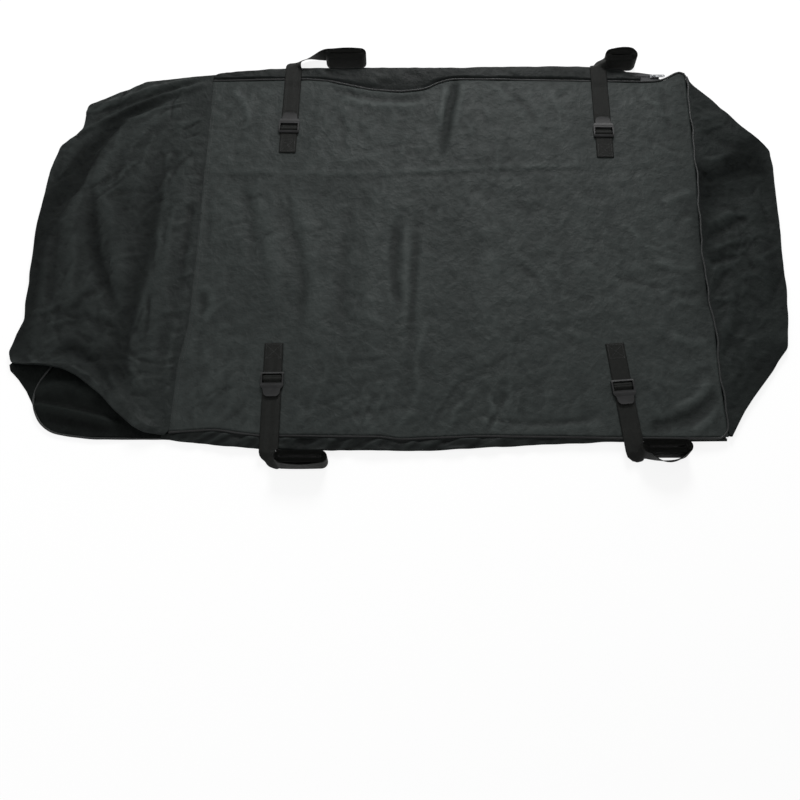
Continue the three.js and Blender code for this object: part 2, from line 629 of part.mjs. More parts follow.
function strapWebbing(strap) {
  const { along, across, sewn, slant, skew } = strapFrame(strap);
  const up = new THREE.Vector3(0, 0, 1);
  const flat = topFace + AIR + WEBBING / 2;
  const lift = barUnder + BAR_HEIGHT;
  const piping = (halfWidth - strap.sewnAt) / slant;
  const edge = (lipEdge + 2 - strap.sewnAt) / slant + (WEBBING_WIDTH / 2) * skew;
  const flapCrest = flapHeight + CLOTH / 2 + AIR + WEBBING / 2;
  const pipingCrest = topUnder + (PANEL + PIPING) / 2 + AIR + WEBBING / 2;
  const crest = strap.side > 0 ? flapCrest : pipingCrest;
  const upright = WEBBING_WIDTH / 2;
  const pastBuckle = [3, 9].map((y) => strap.buckleAt + buckleLength + y);
  const points = [];
  const widths = [];

  const height = (y) => {
    const bar = y - strap.buckleAt;
    const rise = smooth(END_BAR + 0.3, middleBar - 0.3, bar);
    const fall = smooth(middleBar + MIDDLE_BAR + 0.2, crossbar - 3.5, bar);
    const loft = REST_LOFT * smooth(...pastBuckle, y);
    const climb = (crest - flat - REST_LOFT) * smooth(piping - 22, piping - 3, y);
    return flat + lift * (rise - fall) + loft + climb;
  };
  const stops = [0, strap.buckleAt + END_BAR];
  for (let y = END_BAR + 1.2; y < crossbar - 3; y += 1.2) stops.push(strap.buckleAt + y);
  stops.push(strap.buckleAt + crossbar - 2, ...pastBuckle, piping - 22);
  for (let y = piping - 19; y < piping - 4; y += 3.2) stops.push(y);
  stops.push(piping - 3, edge);
  stops.forEach((y) => {
    points.push(sewn.clone().addScaledVector(along, y).setZ(height(y)));
    widths.push(across.clone());
  });

  // The roll is as thick as the webbing that is left needs
  const edgeY = lipEdge + 2;
  let radius = innerRadius;
  const beyond = upright + strap.beyond;
  const used = () => edge + lift + (2 * radius + strap.gap) + beyond + radius;
  while (rolledLength(radius, strap.roll) < STRAP_LENGTH - used()) radius += 0.1;
  const outer = lipEdge + strap.gap + 2 * radius + WEBBING;

  // Past the edge the webbing turns on edge
  const start = points[points.length - 1].clone();
  const twist = (outer - edgeY) / slant - turnRadius;
  for (let i = 1; i <= 8; i += 1) {
    const angle = (Math.PI / 2) * (i / 8);
    const level = start.z + (upright - start.z) * (i / 8);
    const place = start.clone().addScaledVector(along, (twist * i) / 8);
    points.push(place.setZ(Math.max(level, upright * Math.sin(angle) + 0.02)));
    widths.push(across.clone().multiplyScalar(Math.cos(angle)).addScaledVector(up, Math.sin(angle)));
  }

  // It bends towards the rear and winds inward: a straight and a half turn, over and over
  const spot = (x, y) => {
    points.push(new THREE.Vector3(x, strap.side * y, upright + 0.02));
    widths.push(up.clone());
  };
  const bendEnd = points[points.length - 1].clone();
  const bendX = bendEnd.x + turnRadius;
  const bendY = outer - turnRadius;
  for (let i = 1; i <= 4; i += 1) {
    const angle = Math.PI - (Math.PI / 2) * (i / 4);
    spot(bendX + turnRadius * Math.cos(angle), bendY + turnRadius * Math.sin(angle));
  }
  const left = start.x + beyond + radius;
  const right = left + strap.roll - 2 * radius - WEBBING;
  for (let half = 0, r = radius; r > innerRadius; half += 1, r -= pitch / 2) {
    const rearEnd = half % 2 === 0;
    const centreX = rearEnd ? right : left;
    const centreY = outer - radius - (rearEnd ? 0 : pitch / 2);
    for (let i = 0; i <= arcSteps; i += 1) {
      const angle = Math.PI / 2 - (Math.PI * i) / arcSteps;
      const way = rearEnd ? 1 : -1;
      spot(centreX + way * r * Math.cos(angle), centreY + way * r * Math.sin(angle));
    }
  }
  return trimmed(points, widths, STRAP_LENGTH);
}

// The row of points, cut off where it reaches the given length
function trimmed(points, widths, length) {
  let used = 0;
  for (let i = 1; i < points.length; i += 1) {
    const step = points[i].distanceTo(points[i - 1]);
    if (used + step >= length) {
      const end = points[i - 1].clone().lerp(points[i], Math.max(0.1, (length - used) / step));
      return { points: [...points.slice(0, i), end], widths: widths.slice(0, i + 1) };
    }
    used += step;
  }
  return { points, widths };
}

straps.forEach((strap) => {
  const { points, widths } = strapWebbing(strap);
  const a = WEBBING_WIDTH / 2;
  const b = WEBBING / 2;
  const flat = a - SELVEDGE;
  const section = [[-a, 0], [-flat, -b], [flat, -b], [a, 0], [flat, b], [-flat, b]];
  add(`strap_${strap.name}`, loft(points, widths, section), "webbing");

  const { along, sewn } = strapFrame(strap);
  const holder = new THREE.Group();
  holder.position.copy(sewn).addScaledVector(along, strap.buckleAt).setZ(topFace);
  holder.rotation.z = Math.atan2(-along.x, along.y);
  bag.add(holder);
  add(`buckle_${strap.name}`, surface(buckle()), "plastic", holder);
});

export default bag;
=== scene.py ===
# Roof cargo bag of coated cloth, laid out flat and empty, with the ends of its straps rolled up.
# +X is the bag's rear, +Y its right side with the zip, and +Z is up from the ground. Places and
# sizes are in millimetres, and put_mesh turns them into metres.
import math
import bpy
import numpy as np
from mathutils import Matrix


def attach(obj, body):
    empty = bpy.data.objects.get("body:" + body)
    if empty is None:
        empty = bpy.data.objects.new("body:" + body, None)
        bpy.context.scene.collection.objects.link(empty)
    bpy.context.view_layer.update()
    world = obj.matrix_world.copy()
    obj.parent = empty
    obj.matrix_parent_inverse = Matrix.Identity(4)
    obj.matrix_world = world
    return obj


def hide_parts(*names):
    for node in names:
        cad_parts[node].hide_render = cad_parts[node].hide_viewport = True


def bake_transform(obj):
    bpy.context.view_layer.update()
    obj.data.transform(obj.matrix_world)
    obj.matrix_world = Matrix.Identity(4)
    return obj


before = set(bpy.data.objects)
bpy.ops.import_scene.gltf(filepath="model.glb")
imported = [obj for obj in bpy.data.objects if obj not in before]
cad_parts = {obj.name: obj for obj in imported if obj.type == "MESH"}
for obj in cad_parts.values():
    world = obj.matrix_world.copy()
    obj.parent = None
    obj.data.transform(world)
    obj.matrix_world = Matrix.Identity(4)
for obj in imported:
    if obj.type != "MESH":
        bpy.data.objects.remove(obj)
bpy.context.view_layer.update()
MM = 0.001

# Camera
# It stands at the bag's left side, at head height, and looks down at 67 degrees.
camera_data = bpy.data.cameras.new("camera")
camera_data.sensor_width = 36
camera_data.lens = 41.85
camera = bpy.data.objects.new("camera", camera_data)
camera.location = (0.064, -1.085, 1.71)
camera.rotation_euler = (math.radians(90 - 67), 0, 0)
bpy.context.collection.objects.link(camera)
bpy.context.scene.camera = camera
bpy.context.scene.view_settings.view_transform = "Standard"


# Floor and light
# A plain white floor that keeps the bag's soft shadow. One wide lamp stands behind the far edge,
# a weak one on the near side, and the room gives the rest.
def new_material(name):
    """A material with an empty node tree, and its tree."""
    material = bpy.data.materials.new(name)
    material.use_nodes = True
    material.node_tree.nodes.clear()
    return material, material.node_tree


def node(tree, kind, inputs=None, **settings):
    """A node of that kind with its settings, its input values, and the sockets that feed them."""
    made = tree.nodes.new(kind)
    for key, value in settings.items():
        setattr(made, key, value)
    for key, value in (inputs or {}).items():
        if isinstance(value, bpy.types.NodeSocket):
            tree.links.new(value, made.inputs[key])
        else:
            made.inputs[key].default_value = value
    return made


def maths(tree, operation, *values, **settings):
    """The result of a math operation on numbers or sockets."""
    inputs = dict(enumerate(values))
    return node(tree, "ShaderNodeMath", inputs, operation=operation, **settings).outputs[0]


def seen_directly(tree):
    """1 for rays from the camera and for those that reflect or pass on to it, else 0."""
    path = node(tree, "ShaderNodeLightPath").outputs
    straight = maths(tree, "MAXIMUM", path["Is Camera Ray"], path["Is Glossy Ray"])
    return maths(tree, "MAXIMUM", straight, path["Is Transmission Ray"])


floor_material, tree = new_material("white_floor")
floor_paint = node(tree, "ShaderNodeBsdfPrincipled",
                   {"Base Color": (0.9, 0.9, 0.9, 1), "Roughness": 0.8, "Specular IOR Level": 0.1})
floor_glow = node(tree, "ShaderNodeEmission", {"Color": (1, 1, 1, 1), "Strength": 1.14})
floor_share = maths(tree, "MULTIPLY", seen_directly(tree), 0.75)
floor_mix = node(tree, "ShaderNodeMixShader",
                 {0: floor_share, 1: floor_paint.outputs[0], 2: floor_glow.outputs[0]})
node(tree, "ShaderNodeOutputMaterial", {0: floor_mix.outputs[0]})

# In metres
FLOOR_HALF, FLOOR_HEIGHT = 30.0, -0.0004
floor_mesh = bpy.data.meshes.new("floor")
floor_corners = [(-1, -1), (1, -1), (1, 1), (-1, 1)]
floor_mesh.from_pydata([(x * FLOOR_HALF, y * FLOOR_HALF, FLOOR_HEIGHT) for x, y in floor_corners],
                       [], [(0, 1, 2, 3)])
floor_mesh.materials.append(floor_material)
floor = bpy.data.objects.new("floor", floor_mesh)
bpy.context.collection.objects.link(floor)

# The room is white where it is seen, and dimmer where it lights the bag
room = bpy.data.worlds.new("room")
room.use_nodes = True
room.node_tree.nodes.clear()
tree = room.node_tree
room_strength = node(tree, "ShaderNodeMapRange",
                     {"Value": seen_directly(tree), "To Min": 0.26, "To Max": 1.0})
room_light = node(tree, "ShaderNodeBackground",
                  {"Color": (1, 1, 1, 1), "Strength": room_strength.outputs[0]})
node(tree, "ShaderNodeOutputWorld", {0: room_light.outputs[0]})
bpy.context.scene.world = room


def wide_lamp(name, place, side, watts):
    """A square area lamp that faces the bag's middle."""
    lamp = bpy.data.lights.new(name, "AREA")
    lamp.size = side
    lamp.energy = watts
    holder = bpy.data.objects.new(name, lamp)
    holder.location = place
    x, y, z = place
    holder.rotation_euler = (math.atan2(math.hypot(x, y), z), 0, math.atan2(x, -y))
    bpy.context.collection.objects.link(holder)


wide_lamp("lamp_far", (0.45, 2.55, 1.9), 1.1, 68)
wide_lamp("lamp_near", (-1.8, -1.6, 2.6), 1.6, 16)


# Base panel
# The bag's floor: one sheet of coated woven polyester, sewn to the walls through its piping.
# It is hidden but for the near front corner, which lies outside the front wall, crumpled.
def ease(t):
    """Smoothstep: 0 below 0, 1 above 1, and 3tt - 2ttt between."""
    t = np.clip(t, 0, 1)
    return t * t * (3 - 2 * t)


def through(rows, at, soft=12):
    """The value beside a place, straight between the rows of (place, value), and averaged over
    soft mm to either side."""
    place, value = np.array(rows, float).T
    spread = np.linspace(-soft, soft, 9)
    return np.mean([np.interp(at + shift, place, value) for shift in spread], axis=0)


def rough(x, y, size, seed):
    """Smooth random heights from -1 to 1: one random number at each crossing of a square lattice
    of that size, blended between the crossings by smoothstep. The lattice is turned by its seed,
    starts well outside the bag, and comes again after its 97 crossings."""
    turn, outside, crossings = seed * 0.7, 1000, 97
    a = (x * math.cos(turn) + y * math.sin(turn)) / size + outside
    b = (y * math.cos(turn) - x * math.sin(turn)) / size + outside
    number = np.random.default_rng(seed).uniform(-1, 1, (crossings, crossings))
    i, j = np.floor(a).astype(int), np.floor(b).astype(int)
    s, t = ease(a - i), ease(b - j)
    i, j, k, l = [step % crossings for step in (i, j, i + 1, j + 1)]
    return (number[i, j] * (1 - s) + number[k, j] * s) * (1 - t) + (
        number[i, l] * (1 - s) + number[k, l] * s) * t


def crumple(x, y, seed, strength=1.0):
    """Creased cloth: soft swells and a fine grain, and over them patches of ridges and valleys,
    which are where a random height passes 0. The places are bent by up to 14 mm beforehand."""
    bent_x = x + 14 * rough(x, y, 70, seed + 1)
    bent_y = y + 14 * rough(x, y, 70, seed + 2)

    def swell(height, size, number):
        """Soft heights of that size."""
        return height * rough(bent_x, bent_y, size, seed + number)

    def ridge(height, narrow, reach, size, number):
        """Sharp lines where the random height passes 0, held level beyond their reach."""
        off = np.abs(rough(bent_x, bent_y, size, seed + number)).clip(0, reach)
        return height * (1 - narrow * off)

    swells = swell(0.75, 110, 3) + swell(0.5, 52, 4)
    ridges = ridge(0.55, 3, 0.33, 60, 5) - ridge(0.6, 4, 0.25, 47, 10)
    small = ridge(0.5, 3, 0.33, 27, 6) - ridge(0.4, 3, 0.33, 33, 11)
    patchy = 0.4 + 0.6 * ease(rough(x, y, 160, seed + 7) + 0.6)
    grain = swell(0.42, 24, 8) + swell(0.22, 12, 9)
    return strength * (swells + grain + patchy * (ridges + small))


def along_line(line, x, y):
    """How far each point is along a broken line, from 0 to 1, and how far to its left, in mm."""
    line = np.array(line, float)
    step = np.diff(line, axis=0)
    length = np.hypot(*step.T)
    start = np.concatenate([[0], np.cumsum(length)])
    nearest, best_t, best_d = np.full(x.shape, 1e9), np.zeros(x.shape), np.zeros(x.shape)
    for (px, py), (sx, sy), size, begun in zip(line, step / length[:, None], length, start):
        t = np.clip((x - px) * sx + (y - py) * sy, 0, size)
        off = np.hypot(x - px - t * sx, y - py - t * sy)
        side = np.sign((y - py) * sx - (x - px) * sy)
        closer = off < nearest
        nearest = np.where(closer, off, nearest)
        best_t = np.where(closer, (begun + t) / start[-1], best_t)
        best_d = np.where(closer, off * side, best_d)
    return best_t, best_d


def folds(x, y, rows):
    """Ridges and valleys. Each row is height, width to the left, width to the right, and its line.
    The height falls off as a bell on each side of the line, and dies away over the first and the
    last 22 hundredths of it."""
    total, ending = np.zeros(x.shape), 0.22
    for height, left, right, line in rows:
        t, d = along_line(line, x, y)
        fade = ease(t / ending) * ease((1 - t) / ending)
        total += height * fade * np.exp(-((d / np.where(d > 0, left, right)) ** 2))
    return total


def creases(x, y, seed, count, low, high, way, height):
    """Short sharp creases strewn over a box from low to high. Each is a bent line of 40 to 130 mm,
    turned from the way in degrees by a random angle, raised or sunk by up to the height."""
    draw = np.random.default_rng(seed)
    rows = []
    for _ in range(count):
        middle = draw.uniform(low, high)
        turn = math.radians(way + draw.normal(0, 24))
        ahead = np.array([math.cos(turn), math.sin(turn)]) * draw.uniform(20, 65)
        aside = np.array([-ahead[1], ahead[0]]) * draw.uniform(-0.3, 0.3)
        line = [middle - ahead, middle + aside, middle + ahead]
        left, right = draw.uniform(2.8, 7.5, 2)
        rows.append((draw.choice([-1, 1]) * draw.uniform(0.45, 1) * height, left, right, line))
    return folds(x, y, rows)


def put_mesh(name, points, faces, material, uv=None, values=None):
    """A smooth mesh of points in mm, and of faces given as arrays with one row of corners each.
    uv has a pair for each point, and values holds named numbers for each point."""
    mesh = bpy.data.meshes.new(name)
    points = np.asarray(points, float).reshape(-1, 3)
    corners = np.concatenate([face.ravel() for face in faces])
    sizes = np.concatenate([np.full(len(face), face.shape[1]) for face in faces])
    mesh.vertices.add(len(points))
    mesh.vertices.foreach_set("co", (points * MM).astype(np.float32).ravel())
    mesh.loops.add(len(corners))
    mesh.loops.foreach_set("vertex_index", corners.astype(np.int32))
    mesh.polygons.add(len(sizes))
    mesh.polygons.foreach_set("loop_start", (np.cumsum(sizes) - sizes).astype(np.int32))
    mesh.update(calc_edges=True)
    mesh.polygons.foreach_set("use_smooth", np.ones(len(sizes), bool))
    if uv is not None:
        pairs = np.asarray(uv).reshape(-1, 2)[corners]
        layer = mesh.uv_layers.new(name="UVMap")
        layer.data.foreach_set("uv", pairs.astype(np.float32).ravel())
    for key, value in (values or {}).items():
        attribute = mesh.attributes.new(key, "FLOAT", "POINT")
        attribute.data.foreach_set("value", np.asarray(value, np.float32).ravel())
    mesh.materials.append(material)
    piece = bpy.data.objects.new(name, mesh)
    bpy.context.collection.objects.link(piece)
    return piece


def grid_faces(rows, columns, around=False):
    """Quads between the neighbours of a grid of points; around joins its last column to its
    first."""
    number = np.arange(rows * columns).reshape(rows, columns)
    if around:
        number = np.concatenate([number, number[:, :1]], axis=1)
    corners = [number[:-1, :-1], number[:-1, 1:], number[1:, 1:], number[1:, :-1]]
    return np.stack(corners, axis=-1).reshape(-1, 4)


def painted_fold_light(relief):
    """Painted light and shade for folds: 0.5 on plain cloth, more on ridges, which are painted
    paler, and less in valleys, which are painted darker: the height less its average over the
    near points of the grid, and with a smaller share over the far ones."""
    near_rounds, far_rounds = 7, 60
    mean, kept = relief, []
    for count in range(1, far_rounds + 1):
        edge = np.pad(mean, 1, mode="edge")
        mean = (edge[:-2, 1:-1] + edge[2:, 1:-1] + edge[1:-1, :-2] + edge[1:-1, 2:]) / 4
        if count in (near_rounds, far_rounds):
            kept.append(mean)
    return np.clip(0.5 + 0.28 * (relief - kept[0]) + 0.09 * (relief - kept[1]), 0, 1)


def cloth(name, grid, thickness, material, relief=None, painted_shade=None):
    """A sheet on a grid of points (rows, columns, 3), whose first row of faces looks up. The grid
    is its outer face, and its thickness lies inside. Its relief sets a painted highlight on its
    ridges and painted shade in its valleys, and its last values paint patches of shade on it,
    1 where these are darkest."""
    ahead, aside = grid[0, 1:] - grid[0, :-1], grid[1, :-1] - grid[0, :-1]
    relief = np.zeros(grid.shape[:2]) if relief is None else relief
    painted_shade = np.zeros(grid.shape[:2]) if painted_shade is None else painted_shade
    if np.sum(ahead[:, 0] * aside[:, 1] - ahead[:, 1] * aside[:, 0]) < 0:
        grid, relief, painted_shade = grid[:, ::-1], relief[:, ::-1], painted_shade[:, ::-1]
    piece = put_mesh(name, grid, [grid_faces(*grid.shape[:2])], material,
                     values={"painted_fold_light": painted_fold_light(relief), "painted_shade": painted_shade})
    solid = piece.modifiers.new("thickness", "SOLIDIFY")
    solid.thickness = thickness * MM
    solid.offset = -1
    return piece


def new_group(name, output, **numbers):
    """An empty shader node group that takes a place and named numbers and puts out one number:
    its tree, the sockets of what it is given, and the socket for its result."""
    group = bpy.data.node_groups.new(name, "ShaderNodeTree")
    group.interface.new_socket("Vector", in_out="INPUT", socket_type="NodeSocketVector")
    for key, value in numbers.items():
        made = group.interface.new_socket(key, in_out="INPUT", socket_type="NodeSocketFloat")
        made.default_value = value
    group.interface.new_socket(output, in_out="OUTPUT", socket_type="NodeSocketFloat")
    given = group.nodes.new("NodeGroupInput").outputs
    return group, given, group.nodes.new("NodeGroupOutput").inputs[output]


def placed(tree, group, place, **numbers):
    """What a node group puts out at a place, with its own numbers."""
    return node(tree, "ShaderNodeGroup", {"Vector": place, **numbers}, node_tree=group).outputs[0]


def noise(tree, place, scale, detail=2.0, roughness=0.5, distortion=0.0):
    """A noise texture's value; its lumps are about 1 / scale metres wide."""
    return node(tree, "ShaderNodeTexNoise", {
        "Vector": place, "Scale": scale, "Detail": detail, "Roughness": roughness,
        "Distortion": distortion}).outputs[0]


# Plain weave: threads of a given pitch cross, each a sine along its own direction
plain_weave, given, result = new_group("plain_weave", "Height", Pitch=0.0006)
spots = node(plain_weave, "ShaderNodeSeparateXYZ", {0: given["Vector"]}).outputs
turns = maths(plain_weave, "DIVIDE", 2 * math.pi, given["Pitch"])
waves = [maths(plain_weave, "SINE", maths(plain_weave, "MULTIPLY", spots[direction], turns))
         for direction in ("X", "Y")]
plain_weave.links.new(maths(plain_weave, "MULTIPLY", *waves), result)

# Fine creases: thin raised lines where a noise passes its middle value
fine_creases, given, result = new_group("fine_creases", "Lines", Scale=20.0, Narrow=9.0)
wave = noise(fine_creases, given["Vector"], given["Scale"], 3.0, 0.5, 0.6)
off = maths(fine_creases, "ABSOLUTE", maths(fine_creases, "SUBTRACT", wave, 0.5))
off = maths(fine_creases, "MULTIPLY", off, given["Narrow"])
fine_creases.links.new(maths(fine_creases, "SUBTRACT", 1.0, off, use_clamp=True), result)

# Crinkles: the cells of crumpled cloth, low in their middles and raised where they meet. Noise
# bends the places first, so that the cells' edges aren't straight
crinkles, given, result = new_group("crinkles", "Height", Scale=40.0, Bend=0.03)
drift = node(crinkles, "ShaderNodeTexNoise",
             {"Vector": given["Vector"], "Scale": 22.0, "Detail": 3.0}).outputs["Color"]
drift = node(crinkles, "ShaderNodeVectorMath", {0: drift, 1: (0.5, 0.5, 0.5)},
             operation="SUBTRACT").outputs[0]
drift = node(crinkles, "ShaderNodeVectorMath", {0: drift, "Scale": given["Bend"]},
             operation="SCALE").outputs[0]
drift = node(crinkles, "ShaderNodeVectorMath", {0: given["Vector"], 1: drift},
             operation="ADD").outputs[0]
cells = node(crinkles, "ShaderNodeTexVoronoi",
             {"Vector": drift, "Scale": given["Scale"], "Detail": 2.0, "Roughness": 0.55,
              "Lacunarity": 2.1}).outputs["Distance"]
crinkles.links.new(cells, result)


def object_place(tree):
    """The place on the bag, in metres."""
    return node(tree, "ShaderNodeTexCoord").outputs["Object"]


def attribute(tree, name):
    """A number that the mesh holds for each of its points."""
    return node(tree, "ShaderNodeAttribute", attribute_name=name).outputs["Fac"]


def shade(colour, share):
    """The colour with its red, green and blue multiplied by a share."""
    return tuple(share * part for part in colour[:3]) + (1,)


def mixed(tree, share, first, second):
    """The colour between two by a share."""
    inputs = {0: share, 6: first, 7: second}
    return node(tree, "ShaderNodeMix", inputs, data_type="RGBA").outputs[2]


def ranged(tree, value, low, high, to_low=0.0, to_high=1.0):
    """The value carried from one range to another, held at its ends."""
    return node(tree, "ShaderNodeMapRange", {"Value": value, "From Min": low, "From Max": high,
                "To Min": to_low, "To Max": to_high}).outputs[0]


def bump(tree, height, distance, strength=1.0, **normal):
    """The normal of a surface that the height raises, on a Normal of its own where it has one."""
    return node(tree, "ShaderNodeBump", {"Height": height, "Distance": distance,
                "Strength": strength, **normal}).outputs[0]


def surface(tree, inputs):
    """The material's surface: one Principled shader with these inputs."""
    skin = node(tree, "ShaderNodeBsdfPrincipled", inputs)
    node(tree, "ShaderNodeOutputMaterial", {0: skin.outputs[0]})


def coated_cloth(name, dark, light, shine, gleam):
    """Coated woven polyester: cloudy between two tones, with random blotches and specks, a painted
    highlight on ridges and painted shade in valleys, patches of painted shade, paler fine creases,
    and on its crinkles a painted highlight where they are raised and painted shade in their
    hollows, with its weave and creases raised."""
    material, tree = new_material(name)
    place = object_place(tree)
    painted_fold_shading = attribute(tree, "painted_fold_light")
    cloud = noise(tree, place, 5.5, 5.0, 0.62, 0.4)
    blotch = noise(tree, place, 27.0, 5.0, 0.7)
    speckle = noise(tree, place, 120.0, 4.0)
    long_lines = placed(tree, fine_creases, place, Scale=13.0, Narrow=15.0)
    short_lines = placed(tree, fine_creases, place, Scale=38.0, Narrow=8.0)
    facets = placed(tree, crinkles, place, Scale=42.0)
    weave = placed(tree, plain_weave, place, Pitch=0.0011)
    # Painted shade from the mesh, made patchy by random blotches of darker tone
    painted_shade = maths(tree, "MULTIPLY_ADD", maths(tree, "SUBTRACT", blotch, 0.5), 0.9,
                 attribute(tree, "painted_shade"))
    painted_shade = ranged(tree, painted_shade, 0.12, 1.0)

    pale, deep = shade(light, 1.55), shade(dark, 0.26)
    tone = mixed(tree, ranged(tree, cloud, 0.36, 0.64), dark, light)
    # Random blotches and specks, a painted highlight on ridges and painted shade in valleys, the
    # painted shade, paler fine creases, and on the crinkles a painted highlight where they are
    # raised and painted shade in their hollows
    for share, colour in (
            (ranged(tree, blotch, 0.56, 0.34, 0, 0.55), shade(dark, 0.72)),
            (ranged(tree, speckle, 0.6, 0.35, 0, 0.26), deep),
            (ranged(tree, painted_fold_shading, 0.5, 0.95, 0, 0.7), pale),
            (ranged(tree, painted_fold_shading, 0.5, 0.08, 0, 0.75), deep),
            (painted_shade, deep),
            (ranged(tree, long_lines, 0, 1, 0, 0.07), pale),
            (ranged(tree, facets, 0.35, 0.95, 0, 0.16), pale),
            (ranged(tree, facets, 0.35, 0.05, 0, 0.22), deep)):
        tone = mixed(tree, share, tone, colour)

    height = maths(tree, "MULTIPLY", long_lines, 0.4)
    for part, share in ((short_lines, 0.25), (facets, 1.8), (speckle, 0.9)):
        height = maths(tree, "MULTIPLY_ADD", part, share, height)
    creased = bump(tree, height, 0.0007, 0.9)
    gloss = ranged(tree, blotch, 0.3, 0.7, shine + 0.08, shine - 0.08)
    surface(tree, {
        "Base Color": tone, "Roughness": maths(tree, "MULTIPLY_ADD", painted_shade, 0.25, gloss),
        "Normal": bump(tree, weave, 0.00004, 0.5, Normal=creased), "Specular IOR Level": gleam})
    return material


CLOTH_THICK = 0.7
# Each cloth's dark and light tone, then its roughness and its specular level. The walls, the
# rear and the base are the top's cloth in darker copies, painted with the shade they lie in.
TOP_CLOTH = (0.0222, 0.0266, 0.0255, 1), (0.0342, 0.0402, 0.0385, 1)
SHADED_WALL_CLOTH = (0.0122, 0.0148, 0.0142, 1), (0.0222, 0.0262, 0.0251, 1)
SHADED_REAR_CLOTH = (0.0096, 0.0118, 0.0113, 1), (0.0179, 0.0214, 0.0205, 1)
SHADED_BASE_CLOTH = (0.0030, 0.0039, 0.0036, 1), (0.0070, 0.0085, 0.0079, 1)
top_cloth = coated_cloth("coated_cloth_top", *TOP_CLOTH, 0.58, 0.11)
shaded_wall_cloth = coated_cloth("coated_cloth_front_shaded", *SHADED_WALL_CLOTH, 0.6, 0.09)
shaded_rear_cloth = coated_cloth("coated_cloth_rear_shaded", *SHADED_REAR_CLOTH, 0.62, 0.06)
shaded_base_cloth = coated_cloth("coated_cloth_base_shaded", *SHADED_BASE_CLOTH, 0.6, 0.045)

# The base's front edge, as places across the bag and along it; it bulges at the near corner
BASE_FRONT = [(-440, -545), (-437, -598), (-428, -622), (-412, -643), (-390, -656), (-368, -663),
              (-345, -665), (-318, -657), (-290, -640), (-240, -620), (-180, -611), (300, -610),
              (360, -598), (404, -560), (430, -510), (440, -480)]
BASE_REAR = 610
BASE_HALF = 440
BASE_FOLDS = [
    (9, 7, 16, [(-690, -366), (-656, -374), (-573, -391), (-463, -420), (-430, -428)]),
    (5, 22, 22, [(-680, -340), (-600, -330), (-520, -360)]),
    (-3, 10, 10, [(-650, -400), (-570, -412), (-480, -430)]),
]


def open_corner(x, y):
    """1 over the near front corner, which lies open, and 0 beside and behind it."""
    return ease((-470 - x) / 60) * ease((-280 - y) / 50)


across = np.concatenate([np.linspace(-BASE_HALF, -250, 56), np.linspace(-244, BASE_HALF, 60)])
along = np.concatenate([np.linspace(0, 0.22, 62), np.linspace(0.225, 1, 70)])
front_x = through(BASE_FRONT, across, 5)
grid_x = front_x[:, None] + (BASE_REAR - front_x)[:, None] * along[None, :]
grid_y = np.repeat(across[:, None], len(along), axis=1)
corner = open_corner(grid_x, grid_y)
# The corner's cloth bulges between the bag's side and 150 mm further in
bulge = 3.0 * np.sin(np.clip((grid_y + BASE_HALF) / 150, 0, 1) * math.pi)
relief = corner * (folds(grid_x, grid_y, BASE_FOLDS) + crumple(grid_x, grid_y, 11, 0.8) + bulge)
grid_z = 1.1 + 1.3 * corner + np.maximum(relief, 0)
base_panel = cloth("base_panel_cloth", np.stack([grid_x, grid_y, grid_z], axis=-1), CLOTH_THICK,
                   shaded_base_cloth, relief)
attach(base_panel, "bag")
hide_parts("base_panel")


# Base piping
# A cord in a folded strip of the same cloth, sewn into the seam between the base and the walls.
# It runs round the base, and shows where the near front corner lies open.
PIPING_RADIUS = 2.3
CORD_OUT = 2.6


def bent_row(rows, step):
    """Points about every step mm along a broken line."""
    rows = np.array(rows, float)
    length = np.concatenate([[0], np.cumsum(np.linalg.norm(np.diff(rows, axis=0), axis=1))])
    at = np.linspace(0, length[-1], max(int(length[-1] / step), 2))
    return np.stack([np.interp(at, length, column) for column in rows.T], axis=-1)


def softened(points, times):
    """The row of points after each was averaged with its neighbours, the ends kept."""
    for _ in range(times):
        points[1:-1] = (points[:-2] + 2 * points[1:-1] + points[2:]) / 4
    return points


def unit(vectors):
    """The vectors, each divided by its length."""
    return vectors / np.linalg.norm(vectors, axis=-1, keepdims=True)


def carried(points, widths, section):
    """A section of (across, deep) pairs carried along a row of points: the first axis keeps to the
    width direction at each point, the second is square to it and to the row."""
    ahead = unit(np.gradient(points, axis=0))
    wide = unit(widths - ahead * np.sum(widths * ahead, axis=1, keepdims=True))
    deep = np.cross(ahead, wide)
    a, b = np.array(section, float).T
    return points[:, None] + wide[:, None] * a[None, :, None] + deep[:, None] * b[None, :, None]


def rod_faces(rows, columns):
    """The faces of a carried section: its sides and a cap at each end."""
    start = np.arange(columns)[None, :]
    end = start[:, ::-1] + (rows - 1) * columns
    return [grid_faces(rows, columns, around=True)[:, ::-1], start, end]


def piping(name, line, material, painted_shade=None):
    """A round covered cord along a row of points, with the slight lumps of cloth drawn round it.
    Its last values paint shade on it, 1 where it lies in the shade of the cloth beside it."""
    sides = 12
    angle = np.linspace(0, 2 * math.pi, sides + 1)[:-1]
    rings = carried(line, np.tile([0.0, 0, 1], (len(line), 1)),
                    np.stack([np.cos(angle), np.sin(angle)], axis=1) * PIPING_RADIUS)
    lump = 1 + 0.07 * rough(np.arange(len(line)) * 5.0, np.zeros(len(line)), 17, 5)
    rings = line[:, None] + (rings - line[:, None]) * lump[:, None, None]
    steps = np.linalg.norm(np.diff(line, axis=0), axis=1)
    length = np.concatenate([[0], np.cumsum(steps)]) * MM
    uv = np.stack(np.broadcast_arrays(length[:, None], angle[None, :] / 100), axis=-1)
    painted_shade = np.zeros(len(line)) if painted_shade is None else painted_shade
    return put_mesh(name, rings, rod_faces(len(line), sides), material, uv,
                    {"painted_shade": np.repeat(painted_shade, sides)})


